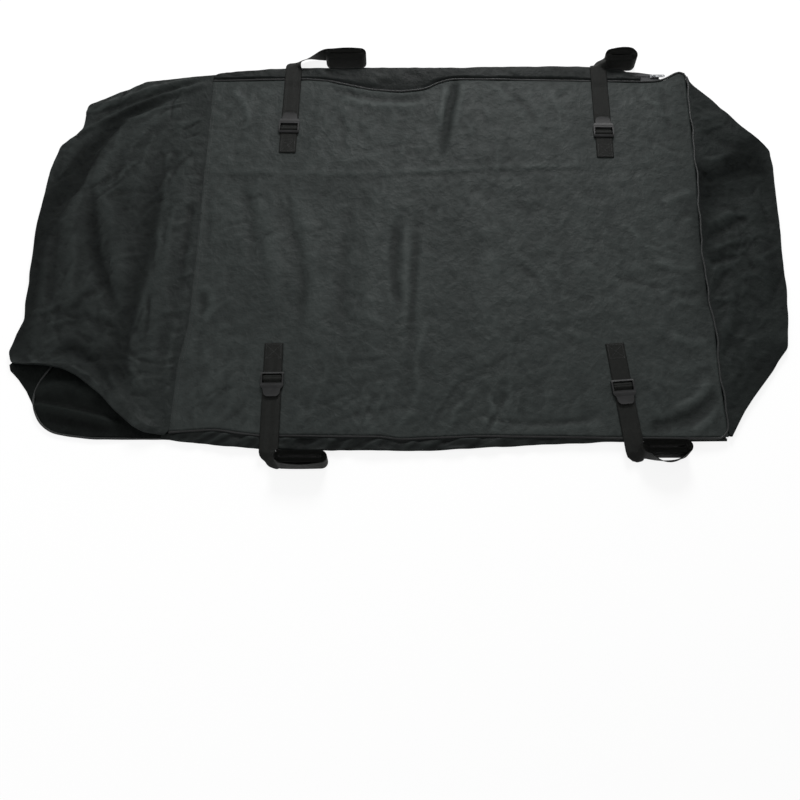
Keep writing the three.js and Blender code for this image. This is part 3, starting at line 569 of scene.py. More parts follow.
def piping_cloth(name, dark, light):
    """Coated cloth drawn tight round a cord: slanting wrinkles along its length, and a satin skin
    with painted shade, and rougher, where the cloth beside it shades it."""
    material, tree = new_material(name)
    place = node(tree, "ShaderNodeUVMap").outputs[0]
    spots = node(tree, "ShaderNodeSeparateXYZ", {0: place}).outputs
    slant = maths(tree, "MULTIPLY_ADD", spots["Y"], 0.35, spots["X"])
    rows = node(tree, "ShaderNodeCombineXYZ", {"X": slant, "Y": spots["Y"]}).outputs[0]
    wrinkle = noise(tree, rows, 260.0)
    painted_shade = attribute(tree, "painted_shade")
    tone = mixed(tree, ranged(tree, wrinkle, 0.35, 0.7), dark, light)
    surface(tree, {
        "Base Color": mixed(tree, painted_shade, tone, shade(dark, 0.3)),
        "Normal": bump(tree, wrinkle, 0.0004, 0.8),
        "Roughness": ranged(tree, painted_shade, 0, 1, 0.44, 0.8), "Specular IOR Level": 0.26})
    return material


cord_cover = piping_cloth("piping_cover", (0.0035, 0.0043, 0.0042, 1), (0.0115, 0.0132, 0.0128, 1))

# From the far side's middle round the rear and the near side, along the front, and back to it
edge_y = np.linspace(-436, 430, 180)
front_line = np.stack([through(BASE_FRONT, edge_y, 5) - 2.4, edge_y], axis=1)
cord_side = BASE_HALF + CORD_OUT
ring = [(0, cord_side), (590, cord_side), (608, 434), (612.6, 420), (612.6, -420), (608, -434),
        (590, -cord_side), (70 - BASE_REAR, -cord_side), *front_line.tolist(),
        (-490, 439), (-470, cord_side), (-4, cord_side)]
ring = softened(bent_row(ring, 5), 6)
lifted = open_corner(ring[:, 0], ring[:, 1])
ring_z = 2.6 + lifted * (2.2 + 1.4 * np.sin(ring[:, 1] / 16))
base_piping = piping("base_piping_cord", np.column_stack([ring, ring_z]), cord_cover)
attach(base_piping, "bag")
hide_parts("base_piping")


# Top panel
# The largest sheet, coated cloth. Its front edge is a flat topstitched seam, its other edges are
# piped. The creases that cross it are where the bag is folded up for packing.
TOP_FACE = 13.6
FRONT_SEAM = [(-440, -388), (-295, -385), (-202, -371), (-5, -369), (440, -369)]
REAR_EDGE = [(-440, 705), (-295, 704), (-202, 709), (-141, 703), (-5, 705), (151, 717), (279, 722),
             (440, 727)]
NEAR_EDGE = [(-388, -431), (-298, -425), (-249, -433), (-205, -438), (-92, -439), (25, -440),
             (64, -446), (122, -443), (220, -439), (376, -441), (492, -443), (609, -444),
             (703, -443)]
FAR_EDGE = [(-372, 437), (-250, 440), (-150, 442), (-105, 438), (-60, 426), (-5, 412), (64, 405),
            (120, 412), (158, 434), (185, 442), (296, 441), (400, 439), (632, 434), (664, 436),
            (684, 444), (700, 457), (714, 463), (740, 464)]
EDGE_FADE = 26


def top_place(u, v):
    """Where the top's cloth lies: u from its front seam to its rear edge, v from its near edge to
    its far one. Straight lines join the near and far edges, and the front and rear ones."""
    y = BASE_HALF * (2 * v - 1)
    x = through(FRONT_SEAM, y) * (1 - u) + through(REAR_EDGE, y) * u
    return x, through(NEAR_EDGE, x, 9) * (1 - v) + through(FAR_EDGE, x, 9) * v


STRAPS = {
    # side, place along the bag, sewn end from the middle, sewn end to buckle, turn to the rear in
    # degrees, length of the roll, reach before the roll, gap from the lip, looseness of the roll
    "left_front": (-1, -192, 240, 65, 0.4, 104, -7, 6, 2.5),
    "left_rear": (-1, 500, 240, 82, 4.7, 98, -10, -16, 12.0),
    "right_front": (1, -188, 235, 53, 1.2, 95, 55, 15, 1.5),
    "right_rear": (1, 522, 222, 54, 0.8, 76, -4, 7, 3.0),
}


def beside_straps(x, y):
    """1 under a strap or its buckle, falling to 0 at 65 mm from its middle line."""
    near = np.zeros(x.shape)
    for side, place, sewn, _, turn, *_ in STRAPS.values():
        slope = math.tan(math.radians(turn)) * side
        line_x = place + (y - side * sewn) * slope
        beyond = np.maximum(0, sewn - 14 - side * y)
        off = np.hypot(x - line_x, beyond)
        near = np.maximum(near, ease((65 - off) / 36))
    return near


TOP_FOLDS = [
    # Packing creases
    (1.1, 10, 6, [(-380, 183), (-235, 184), (-91, 176), (108, 184), (330, 195), (552, 201),
                  (720, 194)]),
    (-1.6, 6, 18, [(-372, 172), (-235, 172), (-150, 166)]),
    (-0.7, 6, 16, [(-100, 166), (108, 174), (330, 185), (552, 190), (700, 184)]),
    (-4.6, 9, 11, [(196, 470), (188, 410), (176, 340), (158, 236)]),
    (3.0, 12, 12, [(216, 455), (204, 400), (192, 345), (180, 300)]),
    (1.8, 12, 9, [(172, 440), (166, 380), (150, 320)]),
    (-2.9, 12, 10, [(62, 70), (52, 0), (50, -80), (62, -178)]),
    (2.0, 12, 10, [(84, 80), (76, -10), (74, -90), (78, -190)]),
    (-2.2, 8, 8, [(106, 64), (96, -30), (92, -120), (86, -200), (84, -262)]),
    (1.4, 8, 8, [(120, -180), (100, -260), (92, -340)]),
    # Long soft swells between them
    (3.0, 22, 26, [(-160, 140), (-128, 20), (-108, -90), (-104, -260)]),
    (-2.6, 14, 20, [(-190, 130), (-160, 10), (-140, -100), (-136, -230)]),
    (2.6, 18, 24, [(-246, 150), (-214, 40), (-196, -80), (-190, -170)]),
    (-2.2, 16, 16, [(-282, 160), (-262, 60), (-240, -60)]),
    (2.2, 26, 22, [(14, 150), (4, 20), (0, -130), (14, -300)]),
    (-2.0, 18, 18, [(-42, 140), (-56, 20), (-56, -120), (-46, -260)]),
    (2.4, 26, 30, [(240, 120), (262, 0), (246, -150), (262, -300)]),
    (-1.8, 22, 24, [(330, 150), (344, 20), (330, -140)]),
    (2.2, 28, 24, [(470, 140), (452, 0), (466, -120)]),
    # Round the front seam
    (1.7, 10, 12, [(-362, -96), (-330, -118), (-322, -152), (-338, -190), (-360, -206)]),
    (-2.2, 8, 8, [(-352, -120), (-342, -152), (-352, -182)]),
    (1.2, 14, 12, [(-340, -230), (-310, -300), (-330, -380)]),
    (-1.8, 12, 9, [(-358, 160), (-352, 60), (-356, -40)]),
    # Near edge and its rear corner
    (-5.2, 11, 17, [(520, -430), (590, -414), (640, -398), (684, -366), (700, -330)]),
    (3.2, 10, 9, [(600, -388), (652, -366), (690, -320)]),
    (3.0, 8, 8, [(632, -440), (668, -410), (696, -372)]),
    (-1.7, 5, 8, [(470, -404), (340, -416), (250, -408), (190, -372)]),
    (1.2, 6, 8, [(470, -420), (330, -432), (200, -428)]),
    (1.1, 6, 9, [(138, -440), (166, -392), (230, -330)]),
    (-1.6, 5, 7, [(118, -440), (142, -390), (180, -330), (240, -300)]),
    (1.0, 6, 9, [(40, -442), (82, -396), (104, -330), (96, -290)]),
    (-1.4, 8, 10, [(-110, -438), (-30, -396), (60, -380), (120, -384)]),
    (1.2, 14, 12, [(-340, -436), (-280, -400), (-262, -320)]),
    (1.0, 9, 9, [(-170, -440), (-112, -386), (-84, -300), (-90, -250)]),
    # Far edge, drawn in under its sagging piping
    (-3.4, 12, 10, [(-110, 424), (-40, 402), (30, 386), (100, 388), (150, 412)]),
    (2.4, 12, 12, [(-90, 392), (0, 368), (90, 366), (140, 380)]),
    (1.3, 7, 9, [(240, 440), (290, 416), (330, 370), (350, 300)]),
    (-1.5, 7, 7, [(280, 440), (318, 406), (362, 350), (370, 310)]),
    (0.9, 8, 8, [(372, 440), (400, 390), (386, 310)]),
    (1.8, 9, 9, [(-330, 420), (-290, 380), (-280, 320)]),
    (-1.8, 9, 9, [(-80, 350), (-60, 290), (-70, 240)]),
    (1.0, 9, 9, [(610, 440), (640, 370), (634, 260)]),
    (-1.2, 8, 8, [(672, 440), (668, 360), (680, 280)]),
    # Rear edge, puckered by its piping
    (2.4, 12, 10, [(712, 130), (672, 120), (630, 96)]),
    (-2.2, 9, 11, [(716, 80), (680, 66), (650, 40)]),
    (2.0, 12, 10, [(704, -60), (660, -66), (600, -40)]),
    (-1.8, 10, 10, [(700, -120), (664, -130), (620, -120)]),
    (2.2, 12, 12, [(704, -230), (660, -240), (610, -220)]),
    (-2.2, 10, 10, [(704, -290), (670, -300), (650, -330)]),
    (1.1, 7, 7, [(540, 60), (590, -10), (680, -40)]),
    (-1.2, 8, 8, [(450, -40), (530, -90), (640, -120)]),
    (1.0, 9, 9, [(340, -150), (430, -226), (540, -250)]),
    (-1.6, 8, 8, [(300, -40), (350, -90), (370, -150)]),
]

TOP_CREASES = [
    # seed, count, box from, box to, way in degrees, height
    (301, 40, (-360, -435), (690, -350), 70, 1.3),
    (302, 36, (-360, 340), (690, 435), 105, 1.1),
    (303, 26, (600, -380), (705, 400), 160, 1.0),
    (304, 16, (-365, -400), (-300, 400), 20, 0.8),
    (305, 46, (-320, -340), (620, 340), 95, 0.55),
]
TOP_PAINTED_SHADE = [
    # Painted shade: share, width to the left, width to the right, and its line
    (0.75, 13, 13, [(200, 470), (186, 365), (161, 243), (156, 200)]),
    (0.55, 26, 22, [(520, -432), (610, -414), (678, -380), (704, -330)]),
    (0.30, 50, 34, [(-380, 150), (-222, 152), (-112, 134), (60, 130)]),
    (0.35, 14, 14, [(64, 70), (51, -67), (64, -190)]),
    (0.30, 12, 14, [(106, 64), (92, -100), (84, -262)]),
    (0.35, 12, 12, [(712, 160), (704, 60), (700, -60), (700, -200)]),
    (0.36, 60, 60, [(700, 560), (706, 200), (694, -60), (694, -330)]),
]
TOP_LONG, TOP_WIDE = 1080, 870
u, v = np.meshgrid(np.linspace(0, 1, 256), np.linspace(0, 1, 184))
top_x, top_y = top_place(u, v)
rim = np.minimum(np.minimum(u * TOP_LONG, (1 - u) * TOP_LONG), np.minimum(v, 1 - v) * TOP_WIDE)
calm = 1 - 0.93 * beside_straps(top_x, top_y)
relief = folds(top_x, top_y, TOP_FOLDS) + crumple(top_x, top_y, 31, 1.1)
for row in TOP_CREASES:
    relief = relief + creases(top_x, top_y, *row)
relief = relief * (0.25 + 0.75 * ease(rim / EDGE_FADE)) * calm
# The cloth crowns a little over the air in the bag, and rests lower beside its edges
crown = 3.0 * ease(rim / 160) * calm
top_z = TOP_FACE - 0.6 + crown * 0.7 + relief
# Under the straps it stays below the top's face, so that they lie on it
top_z = np.where(calm < 0.35, np.minimum(top_z, TOP_FACE), top_z)
top_panel = cloth("top_panel_cloth", np.stack([top_x, top_y, top_z], axis=-1), CLOTH_THICK,
                  top_cloth, relief, folds(top_x, top_y, TOP_PAINTED_SHADE))
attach(top_panel, "bag")
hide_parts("top_panel")


# Top piping
# A covered cord round the top's near, rear and far edges. It sags where the zip's flap is slack
# and snakes along the rear, where its satin cover catches the light.
edge, end = np.linspace(0, 1, 260), np.linspace(0, 1, 200)
near_x, near_y = top_place(edge, np.zeros(len(edge)))
rear_x, rear_y = top_place(np.ones(len(end)), end)
far_x, far_y = top_place(edge[::-1], np.ones(len(edge)))
rear_wave = 1.4 * np.sin(rear_y / 21) + 1.0 * np.sin(rear_y / 9.5 + 1)
trail = np.concatenate([
    np.stack([near_x, near_y - CORD_OUT], axis=1)[:-3],
    np.stack([rear_x + CORD_OUT + rear_wave, rear_y], axis=1)[3:-2],
    np.stack([far_x, far_y + CORD_OUT], axis=1)[2:],
])
trail = softened(bent_row(trail, 4), 5)
trail_z = 12.95 + 0.9 * rough(trail[:, 0], trail[:, 1], 60, 8)
# Painted shade on the near piping, where the top's cloth overhangs it, wavering along it
in_shade = 0.85 * ease((-400 - trail[:, 1]) / 20) * ease((690 - trail[:, 0]) / 40)
in_shade = in_shade * (0.75 + 0.25 * rough(trail[:, 0], 0 * trail[:, 0], 70, 12))
top_piping = piping("top_piping_cord", np.column_stack([trail, trail_z]), cord_cover, in_shade)
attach(top_piping, "bag")
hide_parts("top_piping")


# Front wall
# The bag's raked front, laid outward from the flat seam and folded back under to the base.
# Its far corner is creased over on itself, and its near corner is lifted clear of the base.
FRONT_FOLD = [
    # fold's x and y, and the place across the bag where that row leaves the seam
    (-392, -437, -434), (-436, -434, -425), (-459, -423, -415), (-499, -387, -392),
    (-526, -359, -372), (-554, -336, -352), (-583, -314, -332), (-612, -299, -316),
    (-650, -291, -303), (-690, -288, -292), (-722, -281, -278), (-731, -256, -258),
    (-713, -184, -195), (-722, 28, 15), (-714, 190, 180), (-700, 256, 250), (-668, 286, 282),
    (-655, 308, 306), (-651, 370, 366), (-529, 437, 412), (-430, 452, 428), (-380, 459, 436),
    (-365, 461, 440),
]
FRONT_FOLDS = [
    # Creased far corner: a deep diagonal, and the loose folds outside it
    (-7.7, 9, 20, [(-400, 402), (-461, 392), (-560, 337), (-622, 241), (-647, 149), (-716, 20)]),
    (3.4, 16, 14, [(-396, 366), (-480, 340), (-540, 280), (-580, 230), (-612, 150), (-650, 40)]),
    (5.6, 11, 8, [(-360, 440), (-477, 398), (-560, 356), (-640, 300)]),
    (-3.4, 6, 6, [(-380, 446), (-490, 404), (-590, 362), (-650, 330)]),
    (4.3, 9, 7, [(-392, 452), (-500, 420), (-600, 378), (-656, 352)]),
    (-2.6, 12, 12, [(-690, 250), (-696, 180), (-712, 110)]),
    # Long folds from the far corner down the wall
    (-6.9, 12, 16, [(-622, 190), (-609, 99), (-583, -27), (-534, -147), (-510, -190)]),
    (5.2, 26, 14, [(-586, 140), (-560, 50), (-536, -50), (-506, -120)]),
    (5.2, 12, 20, [(-650, 150), (-646, 60), (-632, -40), (-622, -170)]),
    (-2.6, 8, 9, [(-676, 80), (-672, -20), (-664, -120), (-668, -220)]),
    (2.4, 8, 8, [(-694, 60), (-690, -40), (-682, -140), (-690, -236)]),
    (-2.1, 6, 7, [(-706, 0), (-702, -100), (-704, -200)]),
    # The band beside the seam
    (4.7, 22, 34, [(-398, 330), (-404, 200), (-420, 60), (-438, -80), (-440, -240),
                   (-424, -400)]),
    (-5.6, 14, 30, [(-446, 250), (-470, 128), (-478, -20), (-494, -156), (-498, -290),
                    (-462, -400)]),
    (2.2, 24, 20, [(-510, 260), (-520, 120), (-528, -40), (-520, -180)]),
    (-2.1, 7, 9, [(-384, 120), (-392, 20), (-398, -90)]),
    (1.9, 7, 9, [(-396, -180), (-404, -280), (-396, -380)]),
    # Drawn towards the lifted near corner
    (3.4, 9, 13, [(-668, -232), (-610, -224), (-560, -248), (-524, -300), (-496, -352),
                  (-470, -398)]),
    (-3.9, 9, 9, [(-650, -262), (-600, -256), (-556, -284), (-522, -326), (-488, -372)]),
    (-3.1, 14, 12, [(-640, -196), (-580, -180), (-530, -200), (-500, -250)]),
    (2.9, 12, 12, [(-640, -166), (-600, -120), (-590, -60)]),
    (-2.6, 9, 9, [(-620, -168), (-596, -130), (-560, -110)]),
]
# Painted shade on the front wall: share, width to the left, width to the right, and its line
FRONT_PAINTED_SHADE = [
    (0.80, 30, 44, [(-722, 120), (-706, -65), (-706, -174), (-722, -320)]),
    (1.0, 16, 30, [(-440, 404), (-480, 388), (-560, 337), (-622, 241), (-656, 149), (-730, -30),
                   (-770, -140)]),
    (0.60, 14, 16, [(-616, 120), (-583, -27), (-534, -147)]),
    (0.70, 10, 56, [(-458, 240), (-463, -27), (-484, -156), (-494, -278), (-440, -420)]),
    (0.45, 30, 24, [(-640, -244), (-590, -252), (-540, -280), (-501, -330)]),
    (0.45, 10, 12, [(-660, 300), (-584, 330), (-504, 385), (-420, 430)]),
    (0.30, 40, 40, [(-560, 160), (-540, 60), (-560, -60)]),
    (0.42, 70, 70, [(-690, 260), (-650, 60), (-620, -140), (-590, -420)]),
    (0.9, 20, 34, [(-590, 300), (-640, 200), (-680, 110), (-760, -20)]),
]
# Rows of points on a wall's upper leaf, round its fold and on its lower leaf
UPPER, TURN, LOWER = 88, 14, 30
# Half the base's width under a wall, and the height of a lower leaf that lies down
LEAF_HALF, LEAF_HEIGHT = 434, 1.9


def end_wall(fold_rows, seam_at, crease_rows, seed, rows, fold_list, lift, reach):
    """A wall that lies outward and folds back under. Each row runs from the seam straight out to
    the fold's line, round a half circle, and back for its reach. The folds of the list are raised
    on it one by one, and the crease rows are strewn over it. Returns its points, which start at
    the seam, and the relief of each."""
    fold_rows = np.array(fold_rows, float)
    length = np.concatenate([[0], np.cumsum(np.hypot(*np.diff(fold_rows[:, :2], axis=0).T))])
    at = np.linspace(0, length[-1], rows)
    fold_x, fold_y, seam_y = [through(np.column_stack([length, c]), at, 6) for c in fold_rows.T]
    fold_x = fold_x + 1.6 * rough(at, at * 0, 34, seed + 20)
    seam_x, seam_y = seam_at(seam_y)
    out = np.stack([fold_x - seam_x, fold_y - seam_y], axis=1)
    span = np.hypot(*out.T)
    out = out / span[:, None]

    # A fold above 14 mm stands open, and its lower leaf is raised with it
    high = lift(fold_x, fold_y)
    low = np.where(high > 14, high - 8, LEAF_HEIGHT)
    radius = np.minimum((high - low) / 2, span * 0.3)[:, None]
    straight = span[:, None] - radius
    angle = np.linspace(0, math.pi, TURN + 2)[1:-1]
    far = np.concatenate([
        straight * np.linspace(0, 1, UPPER),
        straight + radius * np.sin(angle),
        straight - np.linspace(0, 1, LOWER) * reach(fold_x, span, out)[:, None],
    ], axis=1)
    x = seam_x[:, None] + out[:, :1] * far
    y = seam_y[:, None] + out[:, 1:] * far
    under, last = y[:, -LOWER:], y[:, -LOWER - 1:-LOWER]
    y[:, -LOWER:] = np.clip(under, np.minimum(-LEAF_HALF, last), np.maximum(LEAF_HALF, last))

    seam_z = TOP_FACE - 0.9
    rise = ease((far[:, :UPPER] - 20) / np.maximum(span - 40, 20)[:, None])
    middle = ((high + low) / 2)[:, None]
    z = np.concatenate([
        seam_z + (high[:, None] - seam_z) * rise,
        middle + radius * np.cos(angle),
        np.repeat(middle - radius, LOWER, axis=1),
    ], axis=1)
    relief = folds(x, y, fold_list) + crumple(x, y, seed, 1.5)
    for row in crease_rows:
        relief = relief + creases(x, y, *row)
    # The relief fades towards the seam and round the fold, and the cloth keeps off what is below
    on_top = np.concatenate([
        ease(far[:, :UPPER] / 18),
        np.repeat(ease(np.linspace(1, -0.4, TURN))[None, :], rows, axis=0),
        np.zeros((rows, LOWER)),
    ], axis=1)
    relief = relief * on_top * ease(span / 60)[:, None]
    lowest = 1.0 * (1 - on_top) + 5.5 * on_top
    return np.stack([x, y, np.maximum(z + relief, lowest)], axis=-1), relief


def front_lift(x, y):
    """Height of the front wall's fold: 12.6 mm, and 25 over the open near corner."""
    return 12.6 + 12.0 * ease((-262 - y) / 26) * ease((x + 735) / 60) * ease((-400 - x) / 60)


def front_reach(fold_x, span, out):
    """The lower leaf runs back to the base's front edge, or by a third where the corner is cut."""
    to_base = (fold_x + BASE_REAR + 4) / np.minimum(out[:, 0], -0.2)
    return np.clip(to_base, 0.14 * span, 0.36 * span)


FRONT_CREASES = [
    (311, 44, (-690, 150), (-400, 430), 50, 2.3),
    (312, 46, (-700, -200), (-420, 180), 80, 1.9),
    (313, 34, (-660, -400), (-410, -170), -40, 2.1),
    (314, 24, (-400, -420), (-376, 430), 15, 1.1),
]


def front_seam_at(y):
    """The front wall's sewn edge, 3 mm behind the seam's line."""
    return through(FRONT_SEAM, y) + 3, through([(-440, -431), (440, 439)], y, 1)


front_grid, relief = end_wall(FRONT_FOLD, front_seam_at, FRONT_CREASES, 51, 300, FRONT_FOLDS,
                              front_lift, front_reach)
front_panel = cloth("front_panel_cloth", front_grid, CLOTH_THICK, shaded_wall_cloth, relief,
                    folds(front_grid[..., 0], front_grid[..., 1], FRONT_PAINTED_SHADE))
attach(front_panel, "bag")
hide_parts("front_panel")

# Front wall's turned-in corner: the end of its lower leaf, which peeps out beyond the base piping
CORNER_EDGE = [(-728, -283), (-724, -296), (-704, -316), (-684, -342), (-668, -370), (-655, -398),
               (-636, -416)]
CORNER_BACK = [(-690, -240), (-660, -250), (-630, -272), (-612, -310), (-600, -344), (-596, -372),
               (-590, -396)]
count = min(len(bent_row(rows, 3)) for rows in (CORNER_EDGE, CORNER_BACK))
corner_lines = []
for rows in (CORNER_EDGE, CORNER_BACK):
    fine_line = bent_row(rows, 1)
    corner_lines.append(fine_line[np.linspace(0, len(fine_line) - 1, count).astype(int)])
share = np.linspace(0, 1, 14)[:, None, None]
flat = corner_lines[1][None] * (1 - share) + corner_lines[0][None] * share
ruck = 1.4 + 1.2 * crumple(flat[..., 0], flat[..., 1], 77, 0.5)
level = 0.8 + ruck * ease((share[..., 0] - 0.72) / 0.2)
# The turned-in corner has the base's darker cloth, painted with the shade under the lifted fold
corner_leaf = cloth("front_panel_turned_corner", np.concatenate([flat, level[..., None]], axis=-1),
                    CLOTH_THICK, shaded_base_cloth)
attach(corner_leaf, "bag")


# Rear wall
# The bag's upright rear, laid outward from the rear piping and folded back under to the base, with
# slanted corners where its ends are drawn in by the side walls.
REAR_FOLD = [
    (714, -441, -438), (724, -424, -428), (747, -385, -392), (800, -318, -330), (855, -248, -258),
    (868, -170, -178), (875, -98, -104), (884, 60, 54), (893, 200, 190), (894, 244, 232),
    (876, 272, 262), (847, 303, 296), (790, 376, 366), (745, 428, 416), (738, 438, 430),
    (732, 457, 462),
]
REAR_FOLDS = [
    (-4.3, 14, 20, [(714, 150), (740, 166), (789, 179), (857, 210)]),
    (3.1, 12, 12, [(728, 216), (772, 222), (820, 232), (862, 246)]),
    (2.8, 10, 14, [(730, 146), (780, 150), (830, 162), (880, 170)]),
    (-3.1, 9, 12, [(716, 10), (748, 26), (780, 48), (822, 70)]),
    (2.7, 9, 10, [(718, 44), (752, 58), (790, 84)]),
    (2.5, 12, 10, [(712, -22), (752, -12), (800, 10), (850, 20)]),
    (-2.7, 8, 10, [(710, -52), (744, -46), (786, -26)]),
    (-2.5, 9, 9, [(712, -128), (736, -96), (756, -60)]),
    (2.2, 10, 10, [(718, -158), (752, -122), (780, -86), (830, -70)]),
    (2.2, 16, 14, [(812, 130), (822, 40), (826, -60), (822, -160)]),
    (-2.2, 12, 14, [(846, 150), (856, 40), (854, -70), (844, -190)]),
    (1.9, 12, 12, [(742, 340), (790, 310), (838, 268)]),
    (-2.9, 12, 12, [(736, 312), (772, 276), (812, 250), (860, 238)]),
    (2.0, 9, 9, [(730, 392), (762, 352), (796, 330)]),
    (-2.0, 9, 9, [(728, 420), (744, 380), (772, 348)]),
    (-2.7, 12, 12, [(714, -396), (750, -348), (796, -286), (848, -236)]),
    (2.2, 10, 12, [(712, -350), (742, -300), (780, -236), (840, -200)]),
    (-1.9, 10, 10, [(712, -280), (744, -230), (776, -180)]),
    (1.9, 10, 10, [(712, -230), (740, -190), (760, -140)]),
]


def rear_lift(x, y):
    """Height of the rear wall's fold: 12 mm, wavering by 1.5."""
    return 12.0 + 1.5 * rough(x, y, 90, 66)


def rear_reach(fold_x, span, out):
    """The lower leaf runs back to the base's rear edge."""
    return np.clip((fold_x - BASE_REAR - 6) / np.maximum(out[:, 0], 0.2), 40, 290)


def rear_seam_at(y):
    """The rear wall's sewn edge, 2.2 mm behind the top's."""
    return through(REAR_EDGE, y) + 2.2, through([(-440, -441), (436, 436), (470, 458)], y, 1)


REAR_CREASES = [
    (321, 30, (716, -380), (800, 400), 25, 1.2),
    (322, 24, (780, -260), (880, 280), 60, 1.2),
]
rear_grid, relief = end_wall(REAR_FOLD, rear_seam_at, REAR_CREASES, 61, 250, REAR_FOLDS, rear_lift,
                             rear_reach)
# Painted shade on the rear wall: share, width to the left, width to the right, and its line
REAR_PAINTED_SHADE = [
    (1.0, 36, 46, [(690, 140), (740, 158), (789, 178), (890, 226)]),
    (0.65, 24, 18, [(716, 260), (725, 109), (706, -60)]),
    (0.60, 8, 14, [(706, -44), (754, -16), (800, 14)]),
    (0.35, 24, 24, [(874, 241), (878, 99), (869, -46), (850, -160)]),
    (0.50, 20, 26, [(740, -380), (802, -290), (856, -235)]),
    (0.30, 26, 26, [(740, 330), (800, 290), (850, 250)]),
    (0.85, 26, 34, [(776, 196), (822, 226), (864, 262), (900, 300)]),
    (0.60, 20, 26, [(770, -400), (812, -330), (860, -260), (900, -200)]),
]
rear_panel = cloth("rear_panel_cloth", rear_grid, CLOTH_THICK, shaded_rear_cloth, relief,
                   folds(rear_grid[..., 0], rear_grid[..., 1], REAR_PAINTED_SHADE))
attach(rear_panel, "bag")
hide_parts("rear_panel")


# Side walls
# Each is one sheet folded like an S between the top and the base. Only its lip shows, outside the
# piping, with the small folds of cloth that was pushed in.
NEAR_LIP = [(-520, -430), (-451, -436), (-400, -444), (-368, -450), (-318, -456), (-206, -467),
            (-92, -469), (115, -471), (205, -465), (300, -460), (486, -451), (600, -450),
            (670, -449), (684, -446), (694, -441), (703, -434)]
FAR_LIP = [(-520, 424), (-430, 440), (-372, 454), (-344, 461), (-201, 477), (184, 478), (403, 484),
           (480, 484), (560, 476), (600, 472), (640, 466), (664, 455), (680, 446), (703, 440)]
SIDE_END = 702
TUCK = 256
# Heights of the two lower leaves, and of the tuck between them with its radius
INNER_LEAF, LOWER_LEAF, TUCK_MIDDLE, TUCK_ROUND = 5.4, 2.6, 4.0, 1.4


def side_wall(name, side, begin, edge_at, lip_rows, seed, top_height, rucked):
    """The S-shaped section, from the top's edge out over the lip, in to the tuck and out to the
    base, carried along the bag. The lip's line and its heights waver, and its cloth is rucked."""
    x = np.linspace(begin, SIDE_END, 250)
    start = np.abs(edge_at(x)) + 3.0
    lip = np.maximum(np.abs(through(lip_rows, x, 10)) + 1.0 * rough(x, x * 0, 30, seed), start + 4)
    waver = rough(x, x * 0, 46, seed + 1)
    bend = 3.1 + 0.5 * waver
    leaf, inner, turn = 16, 14, 10
    s = np.linspace(0, 1, leaf)
    inward = np.linspace(0, 1, inner)
    angle = np.linspace(0, math.pi, turn + 2)[1:-1]
    same = 0 * lip[:, None]
    low_start = 6.0 * ease((begin + 70 - x) / 70)[:, None]
    out_z = top_height - low_start - (1.6 + 0.8 * waver)[:, None] * s ** 2
    turn_top = out_z[:, -1:]
    y = np.concatenate([
        start[:, None] + (lip - bend - start)[:, None] * s,
        (lip - bend)[:, None] + bend[:, None] * np.sin(angle),
        (lip - bend)[:, None] + (TUCK - lip + bend)[:, None] * inward,
        TUCK - TUCK_ROUND * np.sin(angle)[None, :] + same,
        np.linspace(TUCK, BASE_HALF - 1, inner)[None, :] + same,
    ], axis=1)
    z = np.concatenate([
        out_z,
        (turn_top + INNER_LEAF) / 2 + (turn_top - INNER_LEAF) / 2 * np.cos(angle),
        np.full(inner, INNER_LEAF)[None, :] + same,
        TUCK_MIDDLE + TUCK_ROUND * np.cos(angle)[None, :] + same,
        np.full(inner, LOWER_LEAF)[None, :] + same,
    ], axis=1)
    grid_x = np.repeat(x[:, None], y.shape[1], axis=1)
    ruck = (2.2 * rough(grid_x, y * 2.2, 26, seed + 3)
            + 1.9 * rough(grid_x + 1.2 * y, y, 15, seed + 4))
    hidden = np.zeros(y.shape[1] - leaf - turn)
    shown = np.concatenate([ease(s / 0.3), ease(np.linspace(1, 0, turn)), hidden])
    relief = rucked * ruck * shown[None, :] * ease((lip - start) / 26)[:, None]
    grid = np.stack([grid_x, side * y, z + relief], axis=-1).transpose(1, 0, 2)
    return cloth(name, grid, CLOTH_THICK, shaded_lip_cloth, relief.T)


def near_edge_at(x):
    """The top's near edge, and ahead of its seam the line of the front wall's cut corner."""
    cut_corner = through([(-520, -408), (-388, -431)], x, 4)
    return np.where(x < -388, cut_corner, through(NEAR_EDGE, x, 9))


def far_edge_at(x):
    """Where the far lip's cloth comes out: beside the zip's lower tape, and ahead of the top's
    seam under the front wall's edge."""
    rows = [(-520, 408), (-430, 424), (-372, 440), (-350, 459), (640, 459), (664, 446), (703, 430)]
    return through(rows, x, 6)


# The lips and the storm flap are the top's cloth in a darker copy, painted with the shade beside
# the piping
shaded_lip_cloth = coated_cloth("coated_cloth_lips_shaded", (0.0072, 0.0086, 0.0083, 1),
                         (0.0146, 0.0172, 0.0166, 1), 0.58, 0.08)
left_side = side_wall("left_side_panel_cloth", -1, -404, near_edge_at, NEAR_LIP, 71, 12.3, 1.5)
right_side = side_wall("right_side_panel_cloth", 1, -500, far_edge_at, FAR_LIP, 81, 8.2, 0.25)
for piece, panel in ((left_side, "left_side_panel"), (right_side, "right_side_panel")):
    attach(piece, "bag")
    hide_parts(panel)


